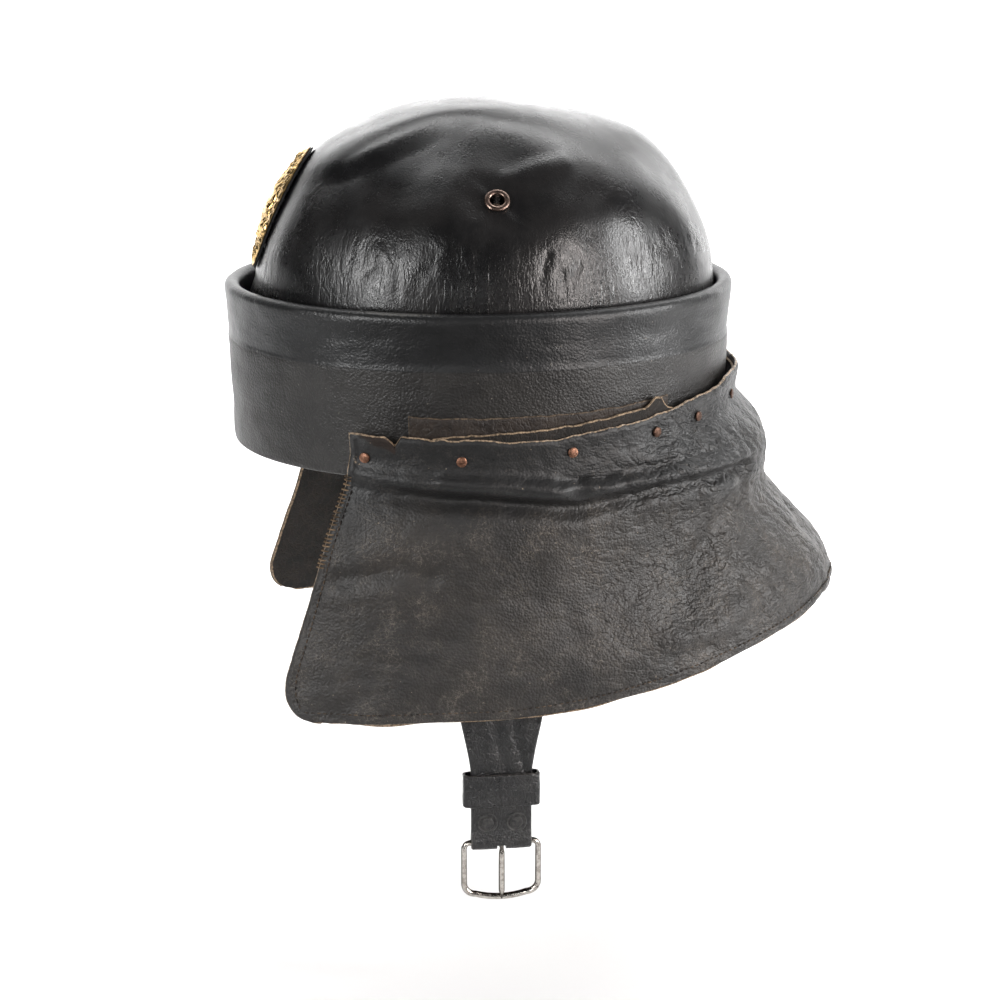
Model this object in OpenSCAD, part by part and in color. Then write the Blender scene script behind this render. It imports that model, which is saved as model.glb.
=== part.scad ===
// Leather crash-type helmet: moulded crown, padded band, riveted neck flap,
// cradle lining and two chin straps. Millimetres, +Z up, front towards -X,
// wearer's left towards -Y. The origin is the centre of the head opening,
// level with the foot of the band.

/* [Band] */
// Length of the band over its top rim
band_rim_l = 264; // [250:1:280]
// Width of the band over its top rim
band_rim_w = 226; // [214:1:240]
// How far the band leans out from foot to rim, each side
band_lean = 3.8; // [1:0.2:6]
// Height of the band
band_h = 83; // [72:1:95]
// Thickness of the band's leather
band_leather_t = 2; // [1.4:0.1:2.6]
// Thickness of the felt inside the band
filler_t = 3.4; // [2.6:0.2:5]
// How far the band's leather turns down inside the rim
band_turn_in = 52; // [35:1:60]

/* [Crown] */
// Height of the dome above the band's rim
dome_h = 92; // [80:1:105]
// Gap between crown and band at the front of the rim
rim_gap_front = 5.4; // [2:0.2:8]
// Gap between crown and band at the back of the rim
rim_gap_rear = 0.9; // [0.8:0.1:2.4]
// Gap between crown and band at the sides of the rim
rim_gap_side = 1.2; // [1:0.1:3]
// How square the dome is seen from the side
dome_square_l = 2; // [1.8:0.05:2.4]
// How square the dome is seen from the front
dome_square_w = 2.25; // [1.8:0.05:2.6]
// Thickness of the crown's leather
crown_t = 3; // [2:0.2:4]
// Thickness of the cloth lining
lining_t = 1.2; // [0.8:0.1:2]
// Height at which the cloth lining starts
lining_foot = 54; // [50:1:70]

/* [Vents] */
// Height of the side vents above the band's foot
vent_z = 137; // [125:1:145]
// Angle from the back to each side vent
vent_angle = 92; // [85:1:96]
// Clear hole through each vent
vent_hole_d = 7.2; // [5:0.2:8]
// Outside of each vent's metal flange
vent_flange_d = 12.6; // [11.5:0.2:15]
// Wall of the eyelet's barrel
eyelet_wall = 0.6; // [0.4:0.1:0.8]

/* [Badge] */
// Height of the badge plate
badge_h = 86; // [60:1:88]
// Width of the badge plate
badge_w = 38; // [30:1:50]
// Height of the badge's middle above the band's foot
badge_z = 121; // [119:1:123]
// Thickness of the badge plate
badge_t = 1; // [0.8:0.1:2]
// How far the boss stands out of the plate
badge_boss = 3; // [2:0.2:5]
// How far the beaded border stands out of the plate
badge_border = 1.2; // [0.6:0.1:2]
// Thickness of the leather behind the badge
backing_t = 1; // [0.8:0.1:2.4]
// How far the leather shows round the plate
backing_edge = 1; // [0.6:0.1:4]

/* [Sweatband and cradle] */
// Thickness of the felt pad behind the sweatband
pad_t = 7.5; // [5:0.5:10]
// Height of the felt pad
pad_h = 44; // [34:1:48]
// Thickness of the sweatband's leather
sweat_t = 1.6; // [1.2:0.1:2.4]
// Number of tongues in the cradle
tongues = 8; // [6:1:9]
// Thickness of each tongue
tongue_t = 1.2; // [0.8:0.1:1.6]
// Height of the cradle's top above the band's foot
cradle_top = 148; // [130:1:152]
// Radius of the lace that gathers the tongues
lace_r = 20; // [16:1:26]
// Thickness of the lace
lace_d = 2.4; // [1.6:0.2:3]

/* [Neck flap] */
// Thickness of the flap's outer leather
flap_t = 2.2; // [1.6:0.1:2.8]
// Thickness of the flap's lining leather
flap_lining_t = 1; // [0.8:0.1:1.6]
// Thickness of the facing strips under the flap
facing_t = 1.4; // [1:0.1:2]
// How far the flap drops below the band's foot at the sides
flap_drop_side = 117; // [95:1:130]
// How far the flap drops below the band's foot at the back
flap_drop_rear = 81; // [60:1:95]
// Reach of the flap's hem behind the origin
flap_reach_rear = 192; // [165:1:205]
// Reach of the flap's hem in front of the origin
flap_reach_front = 116; // [95:1:122]
// Width of the flap across its hem
flap_hem_w = 252; // [240:1:270]
// Angle from the back to the flap's front edges
flap_wrap = 124; // [123:1:130]
// Rounding of the flap's lower front corners
flap_corner = 22; // [10:1:30]
// Depth of the fold across the back of the flap
flap_fold = 6; // [0:0.5:8]
// Height of the flap's top edge at the sides
flap_top_side = 22; // [19:0.5:26]
// Height of the flap's top edge at the back
flap_top_rear = 37; // [33:0.5:42]
// Height of the facing strips' top edge
facing_top = 33; // [28:0.5:38]
// Height of the facing strips' lower edge
facing_foot = 4; // [2:0.5:8]
// How much higher the facing strips stand at their rear ends
facing_rise = 3; // [0:0.5:6]

/* [Rivets] */
// Diameter of the copper rivet heads
rivet_head_d = 5.2; // [4.6:0.2:6.4]
// Diameter of the rivet shanks
rivet_d = 2.4; // [1.8:0.2:3]
// Height of the rivets at the sides
rivet_z_side = 12; // [9:0.5:13]
// Height of the rivets at the back
rivet_z_rear = 26; // [23:0.5:28]

/* [Chin straps] */
// Thickness of the strap leather
strap_t = 2.4; // [1.8:0.1:3]
// Width of both straps where they leave the helmet
strap_top_w = 45; // [40:1:48]
// Width of the left strap at its buckle
strap_end_w = 31; // [26:1:32]
// Height above the buckle's bar at which the left strap starts to narrow
left_narrow_from = 83; // [70:1:120]
// Height above the buckle's bar at which the left strap has narrowed
left_narrow_to = 33; // [25:1:50]
// Drop from the foot of the band to the buckle's bar
buckle_drop = 195; // [180:0.5:210]
// Drop from the foot of the band to the tip of the right strap
right_drop = 185; // [160:1:190]
// Width of the right strap at its holes
right_end_w = 29; // [24:1:31]
// Height above its tip at which the right strap starts to narrow
right_narrow_from = 145; // [120:1:155]
// Height above its tip at which the right strap has narrowed
right_narrow_to = 95; // [85:1:110]
// Number of holes in the right strap
strap_holes = 5; // [3:1:7]
// Diameter of each hole in the right strap
strap_hole_d = 3.4; // [3:0.2:4]
// Sideways place of both straps
strap_x = -0.5; // [-4:0.5:4]

/* [Buckle and keeper] */
// Wire of the buckle frame
buckle_wire = 2.6; // [2:0.1:3]
// Width over the buckle frame
buckle_w = 41; // [40:0.5:46]
// Height over the buckle frame
buckle_h = 33; // [30:0.5:38]
// Wire of the buckle prong
prong_wire = 2.2; // [1.8:0.1:2.6]
// Height of the keeper loop along the strap
keeper_h = 17.5; // [12:0.5:20]
// Room between the keeper loop and the fold's rivets
keeper_room = 5.4; // [4:0.2:8]
// Wall of the keeper loop
keeper_t = 1.6; // [1.2:0.1:2.2]
// Diameter of the pressed rivets in the strap's fold
press_rivet_d = 7.2; // [6:0.2:8.4]
// Room between the rolled end of the fold and its rivets
fold_rivet_rise = 4.12; // [3:0.1:8]

/* [Hidden] */

$fn = 48;

// Clearance between leather layers
layer_gap = 0.3;
// Clearance round shanks and barrels
hole_gap = 0.15;
// Clearance of hinge wires
pin_gap = 0.08;
// Steps round every ring and dome
ring_steps = 48;

// Half sizes of the band's outer oval
rim_a = band_rim_l / 2;
rim_b = band_rim_w / 2;
foot_a = rim_a - band_lean;
foot_b = rim_b - band_lean;

// Depths of the layers, measured inwards from the band's outer face
filler_d = band_leather_t + layer_gap;
inner_wall_d = filler_d + filler_t + layer_gap;
band_t = inner_wall_d + band_leather_t;
crown_d = band_t + layer_gap;
crown_in_d = crown_d + crown_t;
burr_t = 1;
peen_t = 0.6;
tab_t = 1.8;
tab_d = crown_in_d + 0.9;
tab_foot = -sweat_t - 2 * layer_gap;
pad_d = tab_d + tab_t + burr_t + peen_t + 0.8;
sweat_d = pad_d + pad_t + layer_gap;
sweat_in_d = sweat_d + sweat_t;
tongue_d = sweat_in_d + 0.5;

// Depths of the layers outside the band, as negative numbers
facing_d = -layer_gap;
flap_lining_d = facing_d - facing_t - layer_gap;
flap_d = flap_lining_d - flap_lining_t - layer_gap;
flap_out_d = flap_d - flap_t;

// Crown's half sizes and set-back at the rim
crown_rim_a = rim_a - band_t - (rim_gap_front + rim_gap_rear) / 2;
crown_rim_b = rim_b - band_t - rim_gap_side;
crown_set_back = (rim_gap_front - rim_gap_rear) / 2;
crown_foot_a = foot_a - crown_d;
crown_foot_b = foot_b - crown_d;

// Hollows pushed into the worn crown: place, radius and depth
hollows = [
    [-28, -62, 158, 34, 7],
    [8, -70, 150, 26, 4],
    [0, -92, 135, 22, 3],
    [-60, -40, 150, 22, -2],
    [20, 60, 160, 36, 3],
    [30, 0, 174, 32, 2],
    [82, 0, 150, 30, -3.2],
    [122, 0, 110, 32, 3.5],
    [-84, -10, 150, 22, -2.2],
    [-118, 0, 108, 34, 4.5]
];

// Row angles up the dome, in degrees, without the pole
dome_rows = [0, 10, 20, 30, 40, 50, 60, 70, 80];

// Rivets along one side, as angles from the back
rivet_angles = [21, 41, 55, 76, 99.5, 120.5];

// Angles where the facing strips and the lifted lining start and end
facing_front = 111;
facing_rear = 50;
lift_front = 106;
lift_rear = 52;
lift_end = 47;
lining_lift = 8;

function mix(a, b, u) = a + (b - a) * u;
function clamp01(u) = min(1, max(0, u));
function smooth(u) = let (c = clamp01(u)) c * c * (3 - 2 * c);
function unit(v) = v / norm(v);

// Point on the band's oval at angle t, height z and depth d inwards
function oval_pt(t, z, d) = let (u = z / band_h)
    [(mix(foot_a, rim_a, u) - d) * cos(t), (mix(foot_b, rim_b, u) - d) * sin(t), z];

// Direction of the oval's outward normal, in degrees
function oval_turn(t) = atan2(sin(t) / rim_b, cos(t) / rim_a);

function squash_out(s, p) = pow(max(0, 1 - pow(s, p)), 1 / p);

// Depth of all hollows at a point of the undented crown
function hollow_at(p) = [for (h = hollows)
    h[4] * exp(-pow(norm(p - [h[0], h[1], h[2]]) / h[3], 2))] * [for (h = hollows) 1];

// Smooth crown: wall below the rim, dome above it at angle up
function crown_wall_pt(t, z, d) = let (u = z / band_h)
    [crown_set_back * u + (mix(crown_foot_a, crown_rim_a, u) - d) * cos(t),
     (mix(crown_foot_b, crown_rim_b, u) - d) * sin(t), z];
function crown_smooth_pt(t, up, d) = let (s = sin(up))
    [crown_set_back + (crown_rim_a - d) * squash_out(s, dome_square_l) * cos(t),
     (crown_rim_b - d) * squash_out(s, dome_square_w) * sin(t),
     band_h + (dome_h - d) * s];
function crown_normal(p) = unit([(p[0] - crown_set_back) / pow(crown_rim_a, 2),
    p[1] / pow(crown_rim_b, 2), (p[2] - band_h) / pow(dome_h, 2)]);

// Dented dome point at depth d below the crown's outer face
function crown_pt(t, up, d) = let (p = crown_smooth_pt(t, up, 0))
    crown_smooth_pt(t, up, d) - crown_normal(p) * hollow_at(p);

// Outward direction of the dented dome, from points a little way round it
function crown_facing(t, up) = unit(cross(crown_pt(t + 3, up, 0) - crown_pt(t - 3, up, 0),
    crown_pt(t, up + 3, 0) - crown_pt(t, up - 3, 0)));

function ring_angles() = [for (i = [0:ring_steps - 1]) i * 360 / ring_steps];

// Faces of two skins that share their edges: rows of points, foot first
module shell(outer, inner, closed) {
    n = len(outer);
    m = len(outer[0]);
    s = n * m;
    last = closed ? n - 1 : n - 2;
    points = concat([for (row = outer) each row], [for (row = inner) each row]);
    skins = [for (i = [0:last], j = [0:m - 2])
        let (k = (i + 1) % n, a = i * m + j, b = k * m + j, c = b + 1, d = a + 1)
        each [[a, c, b], [a, d, c], [s + a, s + b, s + c], [s + a, s + c, s + d]]];
    rims = [for (i = [0:last])
        let (k = (i + 1) % n, a = i * m, b = k * m, e = a + m - 1, f = b + m - 1)
        each [[a, s + b, s + a], [a, b, s + b], [e, s + f, f], [e, s + e, s + f]]];
    ends = closed ? [] : [for (j = [0:m - 2])
        let (a = j, d = j + 1, e = (n - 1) * m + j, f = e + 1)
        each [[a, s + d, d], [a, s + a, s + d], [e, s + f, s + e], [e, f, s + f]]];
    polyhedron(points, concat(skins, rims, ends), convexity = 8);
}

// Dome of two skins closed at the pole: each column runs up from the foot
module dome(outer, inner, top, under) {
    n = len(outer);
    m = len(outer[0]);
    s = n * m;
    points = concat([for (row = outer) each row], [for (row = inner) each row], [top, under]);
    skins = [for (i = [0:n - 1], j = [0:m - 2])
        let (k = (i + 1) % n, a = i * m + j, b = k * m + j, c = b + 1, d = a + 1)
        each [[a, c, b], [a, d, c], [s + a, s + b, s + c], [s + a, s + c, s + d]]];
    caps = [for (i = [0:n - 1])
        let (k = (i + 1) % n, a = i * m + m - 1, b = k * m + m - 1)
        each [[a, 2 * s, b], [s + a, s + b, 2 * s + 1]]];
    feet = [for (i = [0:n - 1])
        let (k = (i + 1) % n, a = i * m, b = k * m)
        each [[a, s + b, s + a], [a, b, s + b]]];
    polyhedron(points, concat(skins, caps, feet), convexity = 8);
}

// Ring swept round the band's oval from a closed profile of [depth, height]
module oval_ring(profile) {
    m = len(profile);
    points = [for (t = ring_angles(), p = profile) oval_pt(t, p[1], p[0])];
    faces = [for (i = [0:ring_steps - 1], j = [0:m - 1])
        let (k = (i + 1) % ring_steps, l = (j + 1) % m)
        each [[i * m + j, k * m + l, k * m + j], [i * m + j, i * m + l, k * m + l]]];
    polyhedron(points, faces, convexity = 8);
}

// Strip that follows the oval between two angles, with a top that may vary
module oval_strip(from, to, steps, foot, tops, out_d, in_d) {
    angles = [for (i = [0:steps]) mix(from, to, i / steps)];
    rows = function (d) [for (i = [0:steps])
        [for (u = [0, 0.5, 1]) oval_pt(angles[i], mix(foot, tops[i], u), d)]];
    shell(rows(out_d), rows(in_d), false);
}

// Moves children onto the band's oval, their Z axis pointing outwards
module on_oval(t, z, d) {
    translate(oval_pt(t, z, 0)) rotate([0, 90, oval_turn(t)]) translate([0, 0, -d]) children();
}

// Turns children so that their Z axis lies along n
module along(n) {
    rotate([0, acos(n[2]), atan2(n[1], n[0])]) children();
}

function rivet_z(t) = mix(rivet_z_side, rivet_z_rear, pow(max(0, cos(t)), 1.2));
function rivet_list() = concat([0], rivet_angles, -rivet_angles);

// Depth of the burr's seat: on the strap tab where a rivet holds one, else on the crown
function burr_seat(t) = let (w = abs(t))
    w >= rivet_angles[3] && w <= rivet_angles[4] ? tab_d + tab_t + 0.4 : crown_in_d + 0.6;

// Every rivet's place at one depth, or at a depth further in than the burr's seat
module at_rivets(d) {
    for (t = rivet_list()) on_oval(t, rivet_z(t), d) children();
}
module at_burrs(past) {
    for (t = rivet_list()) on_oval(t, rivet_z(t), burr_seat(t) + past) children();
}

module rivet_holes() {
    at_rivets(pad_d) cylinder(d = rivet_d + 2 * hole_gap, h = pad_d - flap_out_d + 2);
}

// Low domed head standing on the plane z = 0
module domed_head(r, h) {
    rotate_extrude() polygon(concat([[0, 0], [r, 0]],
        [for (a = [15:15:90]) [r * cos(a), h * (0.35 + 0.65 * sin(a))]]));
}

// Crown

module vent_frame(side) {
    up = asin((vent_z - band_h) / dome_h);
    t = side * vent_angle;
    translate(crown_pt(t, up, 0)) along(crown_facing(t, up)) children();
}

module vent_holes() {
    barrel = vent_hole_d / 2 + eyelet_wall + hole_gap;
    for (side = [-1, 1]) vent_frame(side) translate([0, 0, -12]) cylinder(r = barrel, h = 18);
}

function badge_up() = asin((badge_z - band_h) / dome_h);

// Crown surface point p across and q up from the badge's middle, at depth d
function badge_pt(p, q, d) = let (up = badge_up() + q / crown_rim_a * 57.3,
    b = crown_rim_b * squash_out(sin(up), dome_square_w))
    crown_pt(180 - asin(p / b), up, d);

module badge_post_frames() {
    for (q = [-1, 1] * badge_h * 0.28) {
        p = badge_pt(0, q, 0);
        translate(p) along(crown_normal(p)) children();
    }
}

module badge_post_holes(r) {
    badge_post_frames() translate([0, 0, -9]) cylinder(r = r, h = 18);
}

function crown_column(t, d) = concat(
    [for (z = [0, lining_foot]) crown_wall_pt(t, z, d)],
    [for (up = dome_rows) crown_pt(t, up, d)]);

module crown_shell() {
    color([0.2, 0.2, 0.2]) difference() {
        dome([for (t = ring_angles()) crown_column(t, 0)],
            [for (t = ring_angles()) crown_column(t, crown_t)],
            crown_pt(0, 90, 0), crown_pt(0, 90, crown_t));
        vent_holes();
        badge_post_holes(post_r + hole_gap);
        rivet_holes();
    }
}

function lining_column(t, d) = concat([crown_wall_pt(t, lining_foot, d)],
    [for (up = dome_rows) crown_pt(t, up, d)]);

module crown_lining() {
    out_d = crown_t + layer_gap;
    color([0.5, 0.42, 0.33]) difference() {
        dome([for (t = ring_angles()) lining_column(t, out_d)],
            [for (t = ring_angles()) lining_column(t, out_d + lining_t)],
            crown_pt(0, 90, out_d), crown_pt(0, 90, out_d + lining_t));
        vent_holes();
        badge_post_holes(post_r + hole_gap);
    }
}

// Half profile of a vent eyelet: rolled flange, barrel and curled inner end
module vent_eyelet(side) {
    r = vent_hole_d / 2;
    w = eyelet_wall;
    f = vent_flange_d / 2;
    roll = 1.1;
    seat = 0.3;
    deep = -(crown_t + lining_t + 2 * layer_gap + 1.8);
    color([0.35, 0.24, 0.18]) vent_frame(side) rotate_extrude()
        polygon(concat([[r, deep - 0.5], [r + w + 1, deep - 0.5], [r + w + 1, deep],
            [r + w, deep], [r + w, seat], [f - 0.2, seat]],
            [for (a = [0:30:180]) [mix(r, f, 0.5) + (f - r) / 2 * cos(a), seat + 0.35 + roll * sin(a)]]));
}

module vent_washer(side) {
    color([0.45, 0.42, 0.38]) vent_frame(side)
        translate([0, 0, -(crown_t + lining_t + 2 * layer_gap + 1.7)]) difference() {
            cylinder(d = vent_flange_d, h = 0.9);
            translate([0, 0, -1]) cylinder(r = vent_hole_d / 2 + eyelet_wall + pin_gap, h = 3);
        }
}

module vent_eyelet_left() { vent_eyelet(-1); }
module vent_eyelet_right() { vent_eyelet(1); }
module vent_washer_left() { vent_washer(-1); }
module vent_washer_right() { vent_washer(1); }

// Badge

post_r = 1.2;
nut_r = 3.6;
nut_t = 1.6;
badge_seat = -2 * layer_gap;
plate_seat = badge_seat - backing_t - layer_gap;

// Oval plate bent to the crown: rings of points from the middle outwards, on both faces
module crown_plate(w, h, seat, faces_d) {
    n = 32;
    m = len(faces_d) - 1;
    ring = function (u, d) [for (i = [0:n - 1])
        badge_pt(w / 2 * u * cos(i * 360 / n), h / 2 * u * sin(i * 360 / n), d)];
    front = [for (j = [1:m]) ring(faces_d[j][0], seat - faces_d[j][1])];
    back = [for (j = [1:m]) ring(faces_d[j][0], seat)];
    points = concat([for (r = front) each r], [for (r = back) each r],
        [badge_pt(0, 0, seat - faces_d[0][1]), badge_pt(0, 0, seat)]);
    s = m * n;
    rim = s - n;
    faces = [for (i = [0:n - 1]) let (k = (i + 1) % n) each concat(
        [for (j = [0:m - 2]) let (a = j * n, b = a + n) each [[a + i, b + k, b + i], [a + i, a + k, b + k],
            [s + a + i, s + b + i, s + b + k], [s + a + i, s + b + k, s + a + k]]],
        [[2 * s, k, i], [2 * s + 1, s + i, s + k]],
        [[rim + i, s + rim + k, s + rim + i], [rim + i, rim + k, s + rim + k]])];
    polyhedron(points, faces, convexity = 6);
}

module badge_plate() {
    boss = badge_t + badge_boss;
    color([0.78, 0.6, 0.26]) crown_plate(badge_w, badge_h, plate_seat,
        [[0, boss], [0.14, boss * 0.96], [0.3, boss * 0.7], [0.42, badge_t + 0.4], [0.56, badge_t],
         [0.7, badge_t], [0.84, badge_t],
         [0.88, badge_t + badge_border], [0.95, badge_t + badge_border], [1, badge_t * 0.7]]);
}

module badge_backing() {
    color([0.1, 0.1, 0.1]) difference() {
        crown_plate(badge_w + 2 * backing_edge, badge_h + 2 * backing_edge, badge_seat,
            concat([for (u = [0:0.16:0.81]) [u, backing_t]], [[0.95, backing_t], [1, backing_t * 0.6]]));
        badge_post_holes(post_r + hole_gap);
    }
}

// Depth of the nuts' outer faces, behind crown and lining
nut_seat = crown_t + lining_t + 5 * layer_gap;

module badge_posts() {
    deep = nut_seat + nut_t + 1;
    color([0.7, 0.55, 0.3]) badge_post_frames() translate([0, 0, -deep])
        cylinder(r = post_r, h = deep - plate_seat - 2 * layer_gap);
}

module badge_nuts() {
    color([0.7, 0.55, 0.3]) badge_post_frames()
        translate([0, 0, -(nut_seat + nut_t)]) difference() {
            cylinder(r = nut_r, h = nut_t, $fn = 6);
            translate([0, 0, -1]) cylinder(r = post_r + pin_gap, h = nut_t + 2);
        }
}

// Band

module band_cover() {
    r = band_t / 2;
    top = band_h - r;
    ri = r - band_leather_t;
    foot_in = band_h - band_turn_in;
    profile = concat([[0, 0]],
        [for (a = [180:-30:0]) [r + r * cos(a), top + r * sin(a)]],
        [[band_t, foot_in], [inner_wall_d, foot_in]],
        [for (a = [0:45:180]) [r + ri * cos(a), top + ri * sin(a)]],
        [[band_leather_t, band_leather_t], [band_t, band_leather_t], [band_t, 0]]);
    color([0.16, 0.16, 0.16]) difference() {
        oval_ring(profile);
        rivet_holes();
    }
}

module band_filler() {
    low = band_leather_t + layer_gap;
    high = band_h - band_t / 2;
    color([0.55, 0.5, 0.42]) difference() {
        oval_ring([[filler_d, low], [filler_d, high],
            [filler_d + filler_t, high], [filler_d + filler_t, low]]);
        rivet_holes();
    }
}

// Sweatband and cradle

strap_half_angle = asin(strap_top_w / 2 / (foot_a - crown_in_d));
tab_margin = 4.5;
tab_top = 30;
tab_levels = [tab_foot, 1, 7, tab_top];

// Points of a strap's tab: as wide as the strap at its foot, held by two rivets above
function tab_rows(side, levels, d, extra) = [for (i = [0:10]) [for (z = levels)
    let (u = smooth((z - 1) / 6),
        near = mix(90 - strap_half_angle, rivet_angles[3] - tab_margin, u) - extra,
        far = mix(90 + strap_half_angle, rivet_angles[4] + tab_margin, u) + extra)
    oval_pt(side > 0 ? mix(near, far, i / 10) : -mix(far, near, i / 10), z, d)]];

module strap_slots() {
    for (side = [-1, 1]) shell(tab_rows(side, [-6, 0.5], tab_d - layer_gap, 1),
        tab_rows(side, [-6, 0.5], tab_d + tab_t + layer_gap, 1), false);
}

module sweatband() {
    color([0.36, 0.27, 0.2]) difference() {
        oval_ring([[crown_d, -sweat_t - layer_gap], [crown_d, -layer_gap], [sweat_d, -layer_gap],
            [sweat_d, pad_h + 4], [sweat_in_d, pad_h + 4], [sweat_in_d, -sweat_t - layer_gap]]);
        strap_slots();
    }
}

module sweatband_pad() {
    color([0.6, 0.57, 0.5]) oval_ring([[pad_d, 0], [pad_d, pad_h],
        [pad_d + pad_t, pad_h], [pad_d + pad_t, 0]]);
}

tongue_foot = pad_h - 8;
tongue_bend = pad_h + 4;

// Cradle surface: up the sweatband, then over in an arch that stops at the lace
function cradle_pt(t, v, d) = let (
    z0 = tongue_bend, base = oval_pt(t, z0, d), arch = v * 82, s = sin(arch),
    rise = cradle_top - z0 - (d - tongue_d))
    v <= 0 ? oval_pt(t, mix(z0, tongue_foot, -v), d) :
    [base[0] * squash_out(s, dome_square_l), base[1] * squash_out(s, dome_square_w), z0 + rise * s];

module cradle_tongues() {
    levels = [-1, 0, 0.2, 0.4, 0.6, 0.8, 0.92, 1];
    step = 360 / tongues;
    color([0.42, 0.32, 0.24]) for (k = [0:tongues - 1]) {
        rows = function (d) [for (i = [0:4]) [for (v = levels)
            let (half = step / 2 * mix(0.93, 0.8, clamp01(v)) * (v == 1 ? 0.55 : 1))
            cradle_pt((k + 0.5) * step + half * (i / 2 - 1), v, d)]];
        shell(rows(tongue_d), rows(tongue_d + tongue_t), false);
    }
}

module cradle_lace() {
    width = oval_pt(90, tongue_bend, tongue_d)[1];
    seat = mix(tongue_bend, cradle_top, squash_out(lace_r / width, dome_square_w));
    color([0.3, 0.22, 0.15])
        translate([0, 0, seat + lace_d / 2 + 0.2]) rotate_extrude()
            translate([lace_r, 0]) circle(d = lace_d, $fn = 16);
}

// Neck flap

function flap_top_z(t) = mix(flap_top_side, flap_top_rear, pow(max(0, cos(t)), 2.2));
function flap_seam_z(t) = rivet_z(t) - 4.5;
function flap_hem_z(t) = -mix(flap_drop_side, flap_drop_rear, pow(max(0, cos(t)), 1.5))
    + 4 * min(0, cos(t));

// Half length and middle of the hem's oval, from its reach both ways
hem_a = (flap_reach_rear + flap_reach_front) / (1 - cos(flap_wrap));
hem_x = flap_reach_rear - hem_a;
function hem_pt(t, d) = [hem_x + (hem_a - d) * cos(t), (flap_hem_w / 2 - d) * sin(t), flap_hem_z(t)];

function bell(v, at, wide) = exp(-pow((v - at) / wide, 2));

// Folds, outwards positive: u runs from the seam, 0, to the hem, 1
function fold_at(t, u) = let (back = smooth((cos(t) + 0.15) / 0.9))
    back * flap_fold * (0.55 * bell(u, 0.84, 0.12) - bell(u, 0.5, 0.15) + 0.8 * bell(u, 0.2, 0.12))
    + (1 - back) * (1.2 * bell(u, 0.3, 0.15) - 1.4 * bell(u, 0.08, 0.06));

// Angle at which the flap's front edge stands, drawn in round the lower corner
function flap_edge_t(u) = let (deg = flap_corner / 3.2, start = 1 - flap_corner / 120,
    c = clamp01((u - start) / (1 - start)))
    flap_wrap - deg * (1 - sqrt(1 - c * c));

// Flap point: v from 0 at the top edge to 1 at the hem, with the rivet seam at flap_seam_v
flap_seam_v = 0.2;
function flap_pt(t, v, d, lift) = let (out = [cos(oval_turn(t)), sin(oval_turn(t)), 0])
    v <= flap_seam_v
    ? oval_pt(t, mix(flap_top_z(t) + lift, flap_seam_z(t), v / flap_seam_v), d)
    : let (u = (v - flap_seam_v) / (1 - flap_seam_v))
        mix(oval_pt(t, flap_seam_z(t), d), hem_pt(t, d - flap_out_d), u) + out * fold_at(t, u);

flap_steps = 46;
flap_levels = [1, 0.98, 0.93, 0.86, 0.76, 0.68, 0.58, 0.5, 0.4, 0.3, 0.2, 0.1, 0];

module flap_sheet(out_d, in_d, lifts) {
    rows = function (d) [for (i = [0:flap_steps]) [for (v = flap_levels)
        let (u = clamp01((v - flap_seam_v) / (1 - flap_seam_v)),
            t = flap_edge_t(u) * (2 * i / flap_steps - 1))
        flap_pt(t, v, d, lifts(t))]];
    shell(rows(out_d), rows(in_d), false);
}

module neck_flap() {
    color([0.24, 0.22, 0.21]) difference() {
        flap_sheet(flap_out_d, flap_d, function (t) 0);
        rivet_holes();
    }
}

// The lining's top edge has come up above the flap between the side rivets
function lining_lift_at(t) = let (w = abs(t))
    w > lift_rear ? lining_lift * clamp01((lift_front - w) / (lift_front - lift_rear))
    : lining_lift * clamp01((w - lift_end) / (lift_rear - lift_end));

module neck_flap_lining() {
    color([0.3, 0.26, 0.22]) difference() {
        flap_sheet(flap_lining_d - flap_lining_t, flap_lining_d, function (t) lining_lift_at(t));
        rivet_holes();
    }
}

module facing_strip(side) {
    steps = 12;
    from = min(side * facing_front, side * facing_rear);
    to = max(side * facing_front, side * facing_rear);
    tops = [for (i = [0:steps]) let (t = mix(from, to, i / steps))
        facing_top + facing_rise * smooth((cos(t) - 0.2) / 0.5)];
    color([0.29, 0.25, 0.23]) difference() {
        oval_strip(from, to, steps, facing_foot, tops, facing_d - facing_t, facing_d);
        rivet_holes();
    }
}

module facing_strip_left() { facing_strip(-1); }
module facing_strip_right() { facing_strip(1); }

// Copper rivets: domed head outside, shank, and peened end over the burr
module flap_rivets() {
    head_d = flap_out_d - 0.3;
    past = burr_t + 0.1;
    color([0.72, 0.43, 0.3]) {
        at_rivets(head_d) domed_head(rivet_head_d / 2, 1.1);
        for (t = rivet_list()) on_oval(t, rivet_z(t), burr_seat(t) + past)
            cylinder(d = rivet_d, h = burr_seat(t) + past - head_d);
        at_burrs(past + peen_t) cylinder(r1 = rivet_d / 2 + 0.2, r2 = rivet_d / 2 + 0.7, h = peen_t);
    }
}

module flap_burrs() {
    color([0.72, 0.43, 0.3]) at_burrs(burr_t) difference() {
        cylinder(d = rivet_head_d + 1.2, h = burr_t);
        translate([0, 0, -1]) cylinder(d = rivet_d + 2 * pin_gap, h = burr_t + 2);
    }
}

// Chin straps

// Hinge line where each strap bends under the helmet
strap_y = foot_b - tab_d - tab_t / 2;
hinge_z = tab_foot - layer_gap - strap_t / 2;
eye_y = strap_t / 2 + 0.1;
eye_r = buckle_wire / 2 + pin_gap + strap_t;
bar_z = -buckle_drop;
fold_rivet_z = bar_z + eye_r + press_rivet_d / 2 + fold_rivet_rise;
keeper_top = fold_rivet_z + press_rivet_d / 2 + keeper_room + keeper_h;

module strap_tab(side) {
    color([0.13, 0.13, 0.13]) difference() {
        shell(tab_rows(side, tab_levels, tab_d, 0), tab_rows(side, tab_levels, tab_d + tab_t, 0), false);
        rivet_holes();
    }
}

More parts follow.
